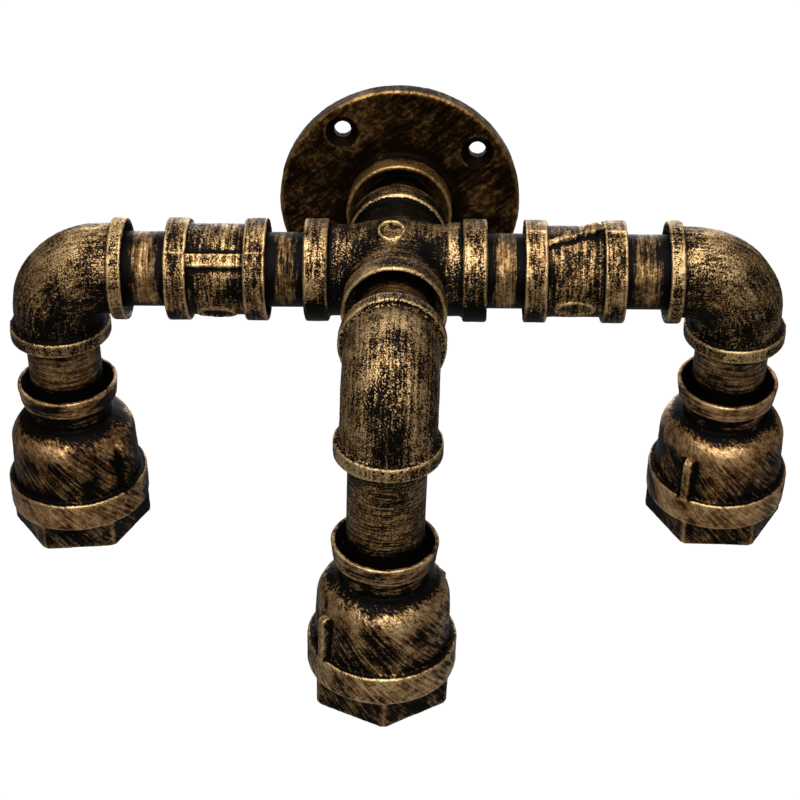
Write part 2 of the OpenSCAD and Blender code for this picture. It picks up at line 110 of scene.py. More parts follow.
# Paint, thin bronze and bright bronze of the brushed finishes
BRONZE = ("paint", "bronze_dark", "bronze_light")
COPPER = ("paint", "copper_dark", "copper_light")
GOLDEN_COPPER = ("paint", "copper_dark", "bronze_light")
RUST = ("paint", "rust_dark", "rust_light")
FLANGE = ("flange_paint", "flange_rust", "flange_light")

# Brushed finishes: how far the bronze covers, how much grain, streaks and patches break it,
# the streaks' size across and along their brush place, and what differs from the usual look
USUAL_LOOK = dict(lean=0.0, colours=BRONZE, bump=0.6, soft=0.07, fineness=1700.0, sheen=0.035)
FINISHES = {
    "Flange iron": dict(cover=0.33, grain=0.35, streaks=0.55, patches=0.8, streak=(0.014, 0.0014),
                        colours=FLANGE, bump=0.5, soft=0.27, sheen=0.02),
    "Rust pipe": dict(cover=0.505, grain=0.7, streaks=1.3, patches=0.9, streak=(0.009, 0.0008),
                      colours=RUST, soft=0.14),
    "Scratched pipe": dict(cover=0.465, grain=1.1, streaks=1.1, patches=0.6, streak=(0.010, 0.0006),
                           soft=0.14),
    "Worn pipe": dict(cover=0.51, grain=0.5, streaks=1.0, patches=0.8, streak=(0.011, 0.0010), soft=0.20),
    "Cast cross": dict(cover=0.432, grain=1.6, streaks=0.9, patches=1.0, streak=(0.012, 0.0012)),
    "Cast coupling": dict(cover=0.455, grain=1.2, streaks=1.1, patches=0.9, streak=(0.010, 0.0011),
                          soft=0.11),
    "Grainy elbow": dict(cover=0.520, grain=2.3, streaks=1.3, patches=1.3, streak=(0.0011, 0.012),
                         bump=0.9, soft=0.05, fineness=1800.0),
    "Streaked elbow": dict(cover=0.477, grain=1.8, streaks=0.9, patches=1.0, streak=(0.0011, 0.006),
                           bump=0.8, soft=0.09, fineness=1800.0),
    "Crisp bell": dict(cover=0.495, grain=0.75, streaks=1.3, patches=1.2, streak=(0.0012, 0.008),
                       lean=36.0, colours=GOLDEN_COPPER, soft=0.14),
    "Smooth bell": dict(cover=0.50, grain=0.5, streaks=1.15, patches=1.2, streak=(0.0012, 0.008),
                        lean=36.0, colours=COPPER, soft=0.19),
    "Dark hexagon": dict(cover=0.355, grain=0.45, streaks=0.9, patches=0.7, streak=(0.0013, 0.009),
                         lean=36.0, soft=0.18),
}
BRUSHED_RELIEF = 0.0004

# Plain finishes: colour, marks per metre, roughness of smooth and rough marks, and tone of the dark ones
USUAL_PLAIN = dict(metallic=0.0, coat=0.0, shade=0.7)
PLAIN_FINISHES = {
    "Pressed brass": dict(colour="brass", scale=420.0, smooth=0.20, rough=0.34, metallic=1.0, shade=0.82),
    "Glazed porcelain": dict(colour="porcelain", scale=160.0, smooth=0.10, rough=0.22, coat=0.6, shade=0.93),
    "Cable sheath": dict(colour="cable", scale=900.0, smooth=0.45, rough=0.6),
    "Moulded block": dict(colour="block", scale=500.0, smooth=0.4, rough=0.55, shade=0.9),
}
PLAIN_BUMP = 0.15
PLAIN_RELIEF = 0.0003

# Stage: camera of the photographed view, floor, and each area light's place, size and power
CAMERA_PLACE = (0.015907, -0.633460, 0.307714)
CAMERA_AIM = (0.001171, -0.060498, -0.055137)
CAMERA_ROLL = -0.005
CAMERA_LENS = 81.32
SENSOR_WIDTH = 36.0
FLOOR_HALF = 6.0
FLOOR_BELOW = 0.35
FLOOR_ROUGHNESS = 0.9
FLOOR_GLOW = 1.02
WHITE = (1.0, 1.0, 1.0, 1.0)
LIGHT_AIM = (0, -0.06, -0.04)
LIGHTS = {
    "Softbox": ((0.0, -0.20, 1.2), 1.2, 19.0),
    "Front fill": ((0.0, -1.3, 0.9), 0.9, 19.0),
    "Back fill": ((0.0, 1.4, 0.05), 1.2, 14.0),
}


def half_span(node, axis):
    """Half of a node's extent along an axis."""
    low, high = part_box(node)
    return (high[axis] - low[axis]) / 2


def middle(node):
    """Middle of a node's box."""
    low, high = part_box(node)
    return (low + high) / 2


def length(name, default, about):
    """Length property in metres."""
    return FloatProperty(name=name, default=default, description=about, unit="LENGTH", precision=5)


def tint(name, default, about):
    """Colour property."""
    return FloatVectorProperty(name=name, default=default, description=about, subtype="COLOR", size=3)


def angle(name, degrees, about):
    """Angle property, given in degrees."""
    return FloatProperty(name=name, default=math.radians(degrees), description=about, unit="ROTATION")


class LightSizes(bpy.types.PropertyGroup):
    """Sizes of the fittings and nipples."""

    mesh_step: length("Mesh step", 0.00055, "Spacing of the points on the visible surfaces")
    hidden_step: length("Hidden step", 0.004, "Spacing of the points inside the bores")
    pipe_radius: length("Pipe radius", half_span("flange_nipple", 0), "Outside radius of the nipples")
    pipe_bore: length("Pipe bore", 0.0108, "Inside radius of the nipples")
    thread_root: length("Thread root", 0.0127, "Radius below the thread that shows in the funnels")
    thread_radius: length("Thread radius", 0.0132, "Outside radius of the threads")
    thread_pitch: length("Thread pitch", 0.001814, "Distance between two turns of a thread")
    thread_engage: length("Thread engagement", 0.013, "Length of thread inside a fitting")
    thread_show: length("Thread shown", 0.0045, "Length of cut thread beyond the plain pipe")
    pipe_in: length("Pipe in the mouth", 0.0042, "How far the plain pipe goes into a funnel")
    bore_radius: length("Fitting bore", 0.01325, "Radius of a fitting's thread")
    body_radius: length("Fitting body", 0.0163, "Outside radius of a fitting's body")
    band_radius: length("Fitting band", half_span("cross_fitting", 2), "Outside radius of the bands")
    band_round: length("Band rounding", 0.0008, "Rounding of the bands' edges")
    band_foot: length("Band foot", 0.0011, "Fillet between a band and the body")
    rim_land: length("Rim", 0.0012, "Width of the rim round a mouth")
    mouth_depth: length("Mouth depth", 0.007, "Depth of the funnel in a mouth")
    cross_reach: length("Cross reach", half_span("cross_fitting", 0), "Cross centre to mouth")
    cross_band: length("Cross band", 0.0087, "Width of the cross's bands")
    cross_blend: length("Cross blend", 0.009, "Softness of the corners between the branches")
    coupling_length: length("Coupling", 2 * half_span("left_coupling", 0), "Length of a coupling")
    coupling_band: length("Coupling band", 0.008, "Width of a coupling's bands")
    coupling_rib_width: length("Coupling rib", 0.0045, "Width of a coupling's ribs")
    coupling_rib_height: length("Coupling rib height", 0.0016, "Height of a coupling's ribs")
    left_rib_turn: angle("Left coupling turn", 38, "Turn of the left coupling's ribs up from the front")
    right_rib_turn: angle("Right coupling turn", 70, "Turn of the right coupling's ribs up from the front")
    elbow_bend: length("Elbow bend", 0.0172, "Bend radius of an elbow's axis")
    elbow_reach: length("Elbow reach", 0.0272, "Elbow centre to mouth")
    elbow_band: length("Elbow band", 0.0052, "Width of an elbow's bands")
    bell_collar: length("Bell collar", 0.0072, "Width of the band at a bell's top")
    collar_radius: length("Collar radius", 0.0187, "Outside radius of that band")
    collar_taper: length("Collar taper", 0.0010, "How much narrower that band is at its lower edge")
    neck_radius: length("Bell neck", 0.0153, "Radius of a bell's neck")
    neck_end: length("Neck level", 0.0143, "Level of the shoulder's top below the bell's top")
    shoulder: length("Bell shoulder", 0.010, "Radius of the rounded shoulder")
    bell_top_radius: length("Bell side at the top", 0.02325, "Radius of the bell under its shoulder")
    bell_foot_radius: length("Bell side at the foot", 0.02395, "Radius of the bell above its band")
    bell_band_radius: length("Bell band", 0.0264, "Radius of the band at a bell's foot")
    bell_band_height: length("Bell band height", 0.0113, "Height of that band")
    bell_height: length("Bell height", 0.052, "Height of a bell")
    bell_bore: length("Bell bore", 0.02095, "Radius of a bell's lower thread")
    bell_seat: length("Bell seat", 0.0308, "Level of the seat inside a bell")
    bell_throat: length("Bell throat", 0.017, "Radius of the throat above the lamp holder")
    bell_socket: length("Bell socket", 0.0145, "Depth of the upper thread")
    bell_rib_width: length("Bell rib", 0.003, "Width of a bell's ribs")
    bell_rib_height: length("Bell rib height", 0.0022, "Height of a bell's ribs")
    bell_rib_length: length("Bell rib length", 0.017, "Length of a bell's ribs above the band")
    left_bell_turn: angle("Left bell turn", -32, "Turn of the left bell's ribs from +X")
    right_bell_turn: angle("Right bell turn", -126, "Turn of the right bell's ribs from +X")
    front_bell_turn: angle("Front bell turn", -144, "Turn of the front bell's ribs from +X")
    hex_flat: length("Hexagon", 0.023, "Half of the hexagon's width across its flats")
    hex_corner: length("Hexagon corner", 0.02596, "Radius of the hexagon's turned corners")
    hex_height: length("Hexagon height", 0.0108, "Height of the hexagon")
    bush_radius: length("Bush thread", 0.0209, "Radius of the bush's thread")
    bush_engage: length("Bush engagement", 0.013, "Length of the bush's thread in the bell")
    bush_bore: length("Bush bore", 0.0194, "Radius of the bush's bore")
    lip_radius: length("Bush lip", 0.017, "Radius of the opening in the bush's lip")
    lip_height: length("Lip height", 0.0035, "Height of the bush's lip")
    left_hex_turn: angle("Left hexagon turn", 6, "Turn of the left hexagon's corner from +X")
    right_hex_turn: angle("Right hexagon turn", -2, "Turn of the right hexagon's corner from +X")
    front_hex_turn: angle("Front hexagon turn", 34, "Turn of the front hexagon's corner from +X")
    shell_radius: length("Screw shell", 0.01395, "Outside radius of a screw shell")
    shell_wall: length("Shell wall", 0.0004, "Thickness of a screw shell")
    shell_hole: length("Shell hole", 0.006, "Radius of the hole round the centre contact")
    shell_level: length("Shell level", 0.0348, "Level of the shell's base below the bell's top")
    shell_length: length("Shell length", 0.023, "Length of a screw shell")
    shell_base: length("Shell base", 0.0005, "Thickness of a shell's base")
    shell_pitch: length("Shell pitch", 0.00363, "Pitch of the rolled thread")
    shell_wave: length("Shell wave", 0.0009, "Depth of the rolled thread")
    flange_radius: length("Flange", half_span("wall_flange", 0), "Radius of the wall flange")
    flange_thickness: length("Flange plate", 0.0062, "Thickness of the flange's plate")
    flange_height: length("Flange height", 2 * half_span("wall_flange", 1), "Wall to the boss's mouth")
    flange_round: length("Flange rounding", 0.0015, "Rounding of the plate's front edge")
    boss_radius: length("Boss", 0.0201, "Radius of the flange's boss")
    boss_fillet: length("Boss fillet", 0.002, "Fillet at the foot of the boss")
    boss_land: length("Boss rim", 0.0013, "Width of the rim round the boss's mouth")
    boss_mouth: length("Boss mouth", 0.008, "Depth of the funnel in the boss's mouth")
    inlet_radius: length("Cable inlet", 0.016, "Radius of the cable inlet")
    inlet_depth: length("Inlet depth", 0.003, "Depth of the cable inlet")
    screw_circle: length("Screw circle", 0.0365, "Radius of the circle of the wall screws")
    screw_hole: length("Screw hole", 0.00325, "Radius of a wall screw's hole")
    screw_head: length("Screw head", 0.0061, "Radius of a countersink")
    screw_turn: angle("Screw turn", 36, "Turn of the first screw hole")
    screw_count: IntProperty(name="Screws", default=4, description="Number of wall screws")
    grain_size: length("Cast grain", 0.0011, "Size of the sand-cast grain")
    grain_depth: length("Cast grain depth", 0.00009, "Height of the sand-cast grain")
    lump_depth: length("Cast lumps", 0.00013, "Height of the broad unevenness of the castings")
    flash_rise: length("Flash height", 0.0009, "Height of the flash ring beside the cross's right band")
    flash_width: length("Flash width", 0.0055, "Width of that flash ring")
    pad_length: length("Pad length", 0.0044, "Half length of the plain oval pad on the cross")
    pad_width: length("Pad width", 0.0048, "Half width of that pad")
    pad_tilt: angle("Pad tilt", 12, "Slope of that pad down to the front")
    pad_left: length("Pad left", 0.0015, "How far left of the cross's centre that pad lies")
    pad_forward: length("Pad forward", 0.0042, "How far before the cross's centre that pad lies")
    bead_length: length("Oval length", 0.0066, "Half length of the oval beads on the couplings")
    bead_width: length("Oval width", 0.0034, "Half width of those ovals")
    left_oval_turn: angle("Left oval turn", -41, "Turn of the left oval up from the front")
    right_oval_turn: angle("Right oval turn", -26, "Turn of the right oval up from the front")
    flash_slant: angle("Flash slant", 28, "Slant of the rough flash along the right coupling")
    flash_turn: angle("Flash turn", 8, "Turn of that flash up from the rib it stands on")
    seed: IntProperty(name="Seed", default=3, description="Seed of the cast skin")


class LightFinish(bpy.types.PropertyGroup):
    """Colours of the light."""

    paint: tint("Paint", (0.0017, 0.0014, 0.0010), "Black paint under the bronze")
    bronze_dark: tint("Dark bronze", (0.180, 0.086, 0.026), "Thin bronze")
    bronze_light: tint("Light bronze", (0.64, 0.452, 0.222), "Bronze on the edges and peaks")
    copper_dark: tint("Dark copper", (0.185, 0.080, 0.0235), "Thin bronze on the bells")
    copper_light: tint("Light copper", (0.66, 0.425, 0.198), "Bronze on the side bells' edges and peaks")
    flange_paint: tint("Flange paint", (0.0034, 0.0014, 0.0003), "Dark paint of the flange")
    flange_rust: tint("Flange streaks", (0.052, 0.020, 0.0042), "Brown streaks on the flange")
    flange_light: tint("Flange edges", (0.46, 0.27, 0.095), "Bronze on the flange's edges")
    rust_dark: tint("Dark rust", (0.105, 0.044, 0.013), "Thin bronze on the nipples inside the mouths")
    rust_light: tint("Light rust", (0.44, 0.235, 0.080), "Bronze on those nipples")
    porcelain: tint("Porcelain", (0.84, 0.82, 0.77), "Glazed lamp holders")
    brass: tint("Brass", (0.80, 0.58, 0.24), "Screw shells, contacts and terminal screws")
    cable: tint("Cable", (0.022, 0.022, 0.024), "Sheath of the cables")
    block: tint("Terminal block", (0.70, 0.69, 0.64), "Plastic of the terminal block")
    floor: tint("Floor", (0.30, 0.30, 0.30), "Studio floor as the light meets it")


class Signal:
    """Output of a node; a sum, difference, product or quotient with it adds a Math node."""

    def __init__(self, bench, socket):
        self.bench = bench
        self.socket = socket

    def __add__(self, other):
        return self.bench.calc("ADD", self, other)

    def __sub__(self, other):
        return self.bench.calc("SUBTRACT", self, other)

    def __rsub__(self, other):
        return self.bench.calc("SUBTRACT", other, self)

    def __mul__(self, other):
        return self.bench.calc("MULTIPLY", self, other)

    def __truediv__(self, other):
        return self.bench.calc("DIVIDE", self, other)

    def __rtruediv__(self, other):
        return self.bench.calc("DIVIDE", other, self)


class NodeBench:
    """Short ways to add linked nodes to a tree."""

    def __init__(self, tree):
        self.tree = tree

    def feed(self, node, values):
        """Links a node's inputs or sets their values."""
        for key, value in values.items():
            if isinstance(value, Signal):
                self.tree.links.new(value.socket, node.inputs[key])
            else:
                node.inputs[key].default_value = value

    def add(self, kind, inputs=None, **settings):
        """Adds a node with its settings and inputs."""
        node = self.tree.nodes.new(kind)
        for key, value in settings.items():
            setattr(node, key, value)
        self.feed(node, inputs or {})
        return node

    def signal(self, kind, inputs=None, output=0, **settings):
        """Adds a node and returns one of its outputs."""
        return Signal(self, self.add(kind, inputs, **settings).outputs[output])

    def calc(self, operation, *values, clamp=False):
        """Adds a Math node and returns its result."""
        return self.signal("ShaderNodeMath", dict(enumerate(values)), operation=operation, use_clamp=clamp)

    def noise(self, place, scale, detail=2.0, roughness=0.5, **inputs):
        """Adds a Noise Texture and returns its value."""
        values = {"Vector": place, "Scale": scale, "Detail": detail, "Roughness": roughness, **inputs}
        dimensions = "4D" if "W" in inputs else "3D"
        return self.signal("ShaderNodeTexNoise", values, noise_dimensions=dimensions)

    def ramp(self, value, low, high, to_low=0.0, to_high=1.0):
        """Adds a smooth Map Range and returns its result."""
        values = {"Value": value, "From Min": low, "From Max": high, "To Min": to_low, "To Max": to_high}
        return self.signal("ShaderNodeMapRange", values, "Result", interpolation_type="SMOOTHSTEP")

    def blend(self, factor, first, second):
        """Adds a colour Mix and returns its result."""
        return self.signal("ShaderNodeMix", {0: factor, 6: first, 7: second}, 2, data_type="RGBA")

    def split(self, place):
        """Adds a Separate XYZ and returns its three parts."""
        return [Signal(self, part) for part in self.add("ShaderNodeSeparateXYZ", {0: place}).outputs]

    def join(self, x=0.0, y=0.0, z=0.0):
        """Adds a Combine XYZ and returns its vector."""
        return self.signal("ShaderNodeCombineXYZ", {"X": x, "Y": y, "Z": z})


VALUE = "NodeSocketFloat"
VECTOR = "NodeSocketVector"
COLOUR = "NodeSocketColor"


def opaque(colour):
    """Colour with full alpha."""
    return (*colour, 1.0)


def new_group(name, kind, inputs, outputs):
    """Node group with named sockets; returns its bench, its inputs and its output node."""
    tree = bpy.data.node_groups.new(name, kind)
    for way, sockets in (("INPUT", inputs), ("OUTPUT", outputs)):
        for label, socket in sockets.items():
            tree.interface.new_socket(label, in_out=way, socket_type=socket)
    bench = NodeBench(tree)
    source = bench.add("NodeGroupInput").outputs
    given = {label: Signal(bench, source[label]) for label in inputs}
    return bench, given, bench.add("NodeGroupOutput")


def shared_group(make, name):
    """Node group of this name, made once."""
    return bpy.data.node_groups.get(name) or make()


def dry_brush_group():
    """Bronze brushed over black paint: it catches on grain and edges and misses the hollows; its Edge also
    carries painted highlight and its Reach painted shade.
    """
    patches_per_metre, tones_per_metre = 95.0, 520.0
    edge_and_highlight_caught, hollow_and_shade_missed, midway = 0.34, 0.85, 0.49
    numbers = ("Edge", "Reach", "Cover", "Grain", "Streaks", "Patches", "Streak across", "Streak along",
               "Lean", "Softness", "Grain scale")
    inputs = {"Object place": VECTOR, "Brush place": VECTOR, **dict.fromkeys(numbers, VALUE), "Paint": COLOUR,
              "Dark bronze": COLOUR, "Light bronze": COLOUR}
    outputs = {"Colour": COLOUR, "Roughness": VALUE, "Metallic": VALUE, "Height": VALUE}
    bench, given, result = new_group("Dry-brushed bronze", "ShaderNodeTree", inputs, outputs)
    place, brush = given["Object place"], given["Brush place"]
    fine = bench.noise(place, given["Grain scale"], 2.0, 0.6)
    patch = bench.noise(place, patches_per_metre, 3.0, 0.55)
    tone = bench.noise(place, tones_per_metre, 2.0, 0.6)
    twist = bench.split(brush)[2] * given["Lean"]
    turned = bench.signal("ShaderNodeVectorRotate", {"Vector": brush, "Angle": twist}, rotation_type="Z_AXIS")
    per_across = 1.0 / given["Streak across"]
    stretch = bench.join(per_across, per_across, 1.0 / given["Streak along"])
    stretched = bench.signal("ShaderNodeVectorMath", {0: turned, 1: stretch}, operation="MULTIPLY")
    streak = bench.noise(stretched, 1.0, 3.0, 0.62)
    catch = (fine - 0.5) * given["Grain"]
    swipe = (streak - 0.5) * given["Streaks"]
    area = (patch - 0.5) * given["Patches"]
    hidden = (1.0 - given["Reach"]) * hollow_and_shade_missed
    cover = given["Cover"] + catch + (swipe + area) + given["Edge"] * edge_and_highlight_caught - hidden
    mask = bench.ramp(cover, midway - given["Softness"], given["Softness"] + midway)
    uneven = bench.ramp(tone, 0.40, 0.66, 0.0, 0.40)
    thick = bench.ramp(cover, 0.52, 0.95, 0.0, 0.80)
    bright = bench.calc("ADD", uneven, thick, clamp=True)
    bronze = bench.blend(bright, given["Dark bronze"], given["Light bronze"])
    bench.feed(result, {
        "Colour": bench.blend(mask, given["Paint"], bronze),
        "Roughness": bench.ramp(mask, 0.0, 1.0, 0.42, 0.40) + catch * 0.10,
        "Metallic": mask * 0.9,
        "Height": fine * 0.9 + mask * 0.2 + streak * 0.2})
    return bench.tree


def speckle_group():
    """Small uneven marks that break a plain finish: tone, roughness and height."""
    inputs = {"Object place": VECTOR, "Scale": VALUE, "Light": COLOUR, "Dark": COLOUR,
              "Smooth": VALUE, "Rough": VALUE}
    outputs = {"Colour": COLOUR, "Roughness": VALUE, "Height": VALUE}
    bench, given, result = new_group("Uneven finish", "ShaderNodeTree", inputs, outputs)
    marks = bench.noise(given["Object place"], given["Scale"], 4.0, 0.6)
    mask = bench.ramp(marks, 0.35, 0.65)
    span = given["Rough"] - given["Smooth"]
    bench.feed(result, {
        "Colour": bench.blend(mask, given["Dark"], given["Light"]),
        "Roughness": bench.calc("MULTIPLY_ADD", mask, span, given["Smooth"]),
        "Height": marks})
    return bench.tree


def new_material(name):
    """Material with its bench and its Principled shader."""
    material = bpy.data.materials.new(name)
    material.use_nodes = True
    bench = NodeBench(material.node_tree)
    return material, bench, material.node_tree.nodes["Principled BSDF"]


def dress(bench, shader, group, bump, relief):
    """Leads a group's outputs to the shader, its height through a Bump node."""
    marks = {output.name: Signal(bench, output) for output in group.outputs}
    height = {"Height": marks.pop("Height"), "Strength": bump, "Distance": relief}
    normal = bench.signal("ShaderNodeBump", height)
    bench.feed(shader, {"Base Color": marks.pop("Colour"), "Normal": normal, **marks})


def brushed_finish(name, finish):
    """Cast or drawn iron with black paint and dry-brushed bronze."""
    if name in bpy.data.materials:
        return bpy.data.materials[name]
    look = {**USUAL_LOOK, **FINISHES[name]}
    material, bench, shader = new_material(name)
    across, along = look["streak"]
    paint, dark, light = [opaque(getattr(finish, key)) for key in look["colours"]]
    values = {
        "Object place": bench.signal("ShaderNodeTexCoord", output="Object"),
        "Brush place": bench.signal("ShaderNodeAttribute", output="Vector", attribute_name="brush_space"),
        "Edge": bench.signal("ShaderNodeAttribute", output="Fac", attribute_name="edge"),
        "Reach": bench.signal("ShaderNodeAttribute", output="Fac", attribute_name="reach"),
        "Cover": look["cover"], "Grain": look["grain"], "Streaks": look["streaks"],
        "Patches": look["patches"], "Streak across": across, "Streak along": along,
        "Lean": look["lean"], "Softness": look["soft"], "Grain scale": look["fineness"],
        "Paint": paint, "Dark bronze": dark, "Light bronze": light}
    brush = bench.add("ShaderNodeGroup", node_tree=shared_group(dry_brush_group, "Dry-brushed bronze"))
    bench.feed(brush, values)
    dress(bench, shader, brush, look["bump"], BRUSHED_RELIEF)
    shader.inputs["Specular IOR Level"].default_value = look["sheen"]
    return material


def plain_finish(name, finish):
    """Finish of one colour with small uneven marks."""
    if name in bpy.data.materials:
        return bpy.data.materials[name]
    look = {**USUAL_PLAIN, **PLAIN_FINISHES[name]}
    material, bench, shader = new_material(name)
    colour = getattr(finish, look["colour"])
    values = {
        "Object place": bench.signal("ShaderNodeTexCoord", output="Object"), "Scale": look["scale"],
        "Light": opaque(colour), "Dark": opaque([look["shade"] * part for part in colour]),
        "Smooth": look["smooth"], "Rough": look["rough"]}
    marks = bench.add("ShaderNodeGroup", node_tree=shared_group(speckle_group, "Uneven finish"))
    bench.feed(marks, values)
    dress(bench, shader, marks, PLAIN_BUMP, PLAIN_RELIEF)
    bench.feed(shader, {"Metallic": look["metallic"], "Coat Weight": look["coat"]})
    return material


def geometry_tree(name, inputs):
    """Geometry tree with a Geometry and a Material input; returns bench, inputs and an ending function."""
    sockets = {"Geometry": "NodeSocketGeometry", **inputs, "Material": "NodeSocketMaterial"}
    bench, given, result = new_group(name, "GeometryNodeTree", sockets, {"Geometry": "NodeSocketGeometry"})

    def end(shape):
        whole = bench.signal("GeometryNodeRealizeInstances", {"Geometry": shape})
        coated = {"Geometry": whole, "Material": given["Material"]}
        bench.feed(result, {"Geometry": bench.signal("GeometryNodeSetMaterial", coated)})
        return bench.tree

    return bench, given, end


def cast_skin_tree():
    """Moves a casting's surface in and out by sand grain and broad lumps."""
    lumps_per_metre, noise_span = 130.0, 4.0
    labels = ("Grain size", "Grain depth", "Lump depth", "Seed")
    bench, given, end = geometry_tree("Cast skin", dict.fromkeys(labels, VALUE))
    place = bench.signal("GeometryNodeInputPosition")
    outward = bench.signal("GeometryNodeInputNormal")
    grain = bench.noise(place, 1.0 / given["Grain size"], 2.0, 0.6, W=given["Seed"])
    lumps = bench.noise(place, lumps_per_metre, 2.0, 0.5, W=given["Seed"])
    rise = (grain - 0.5) * (given["Grain depth"] * noise_span)
    swell = (lumps - 0.5) * (given["Lump depth"] * noise_span)
    offset = bench.signal("ShaderNodeVectorMath", {0: outward, "Scale": rise + swell}, operation="SCALE")
    return end(bench.signal("GeometryNodeSetPosition", {"Geometry": given["Geometry"], "Offset": offset}))


def thread_tree():
    """Adds a screw thread at both ends of a nipple that lies along Z."""
    points_per_turn, section_points = 40, 6
    labels = ("Radius", "Pitch", "Turns", "Ridge", "First start", "Second start")
    bench, given, end = geometry_tree("Thread turns", dict.fromkeys(labels, VALUE))
    spiral = bench.signal("GeometryNodeCurveSpiral", {
        "Resolution": points_per_turn, "Rotations": given["Turns"], "Start Radius": given["Radius"],
        "End Radius": given["Radius"], "Height": given["Pitch"] * given["Turns"]})
    section = bench.signal("GeometryNodeCurvePrimitiveCircle", {
        "Resolution": section_points, "Radius": given["Ridge"]})
    ridge = bench.signal("GeometryNodeCurveToMesh", {
        "Curve": spiral, "Profile Curve": section, "Fill Caps": True})
    joined = bench.add("GeometryNodeJoinGeometry", {0: given["Geometry"]})
    for start in ("First start", "Second start"):
        level = bench.join(z=given[start])
        turns = bench.signal("GeometryNodeTransform", {"Geometry": ridge, "Translation": level})
        bench.feed(joined, {0: turns})
    return end(Signal(bench, joined.outputs[0]))


def screw_hole_tree():
    """Cuts countersunk screw holes on a circle into a plate that lies along Z."""
    round_points = 64
    inputs = {**dict.fromkeys(("Circle", "Turn", "Hole", "Head", "Face"), VALUE), "Count": "NodeSocketInt"}
    bench, given, end = geometry_tree("Screw holes", inputs)
    hole, face = given["Hole"], given["Face"]
    sink = given["Head"] - hole
    shank = bench.signal("GeometryNodeMeshCylinder", {
        "Vertices": round_points, "Radius": hole, "Depth": face * 3.0})
    head = bench.signal("GeometryNodeMeshCone", {
        "Vertices": round_points, "Radius Top": given["Head"] + sink, "Radius Bottom": hole,
        "Depth": sink * 2.0})
    head = bench.signal("GeometryNodeTransform", {"Geometry": head, "Translation": bench.join(z=face - sink)})
    ring = bench.signal("GeometryNodeCurvePrimitiveCircle", {
        "Resolution": given["Count"], "Radius": given["Circle"]})
    ring = bench.signal("GeometryNodeTransform", {"Geometry": ring, "Rotation": bench.join(z=given["Turn"])})
    shape = given["Geometry"]
    for cutter in (shank, head):
        set_out = bench.signal("GeometryNodeInstanceOnPoints", {"Points": ring, "Instance": cutter})
        whole = bench.signal("GeometryNodeRealizeInstances", {"Geometry": set_out})
        shape = bench.signal("GeometryNodeMeshBoolean", {"Mesh 1": shape, "Mesh 2": whole},
                             operation="DIFFERENCE", solver="EXACT")
    return end(shape)


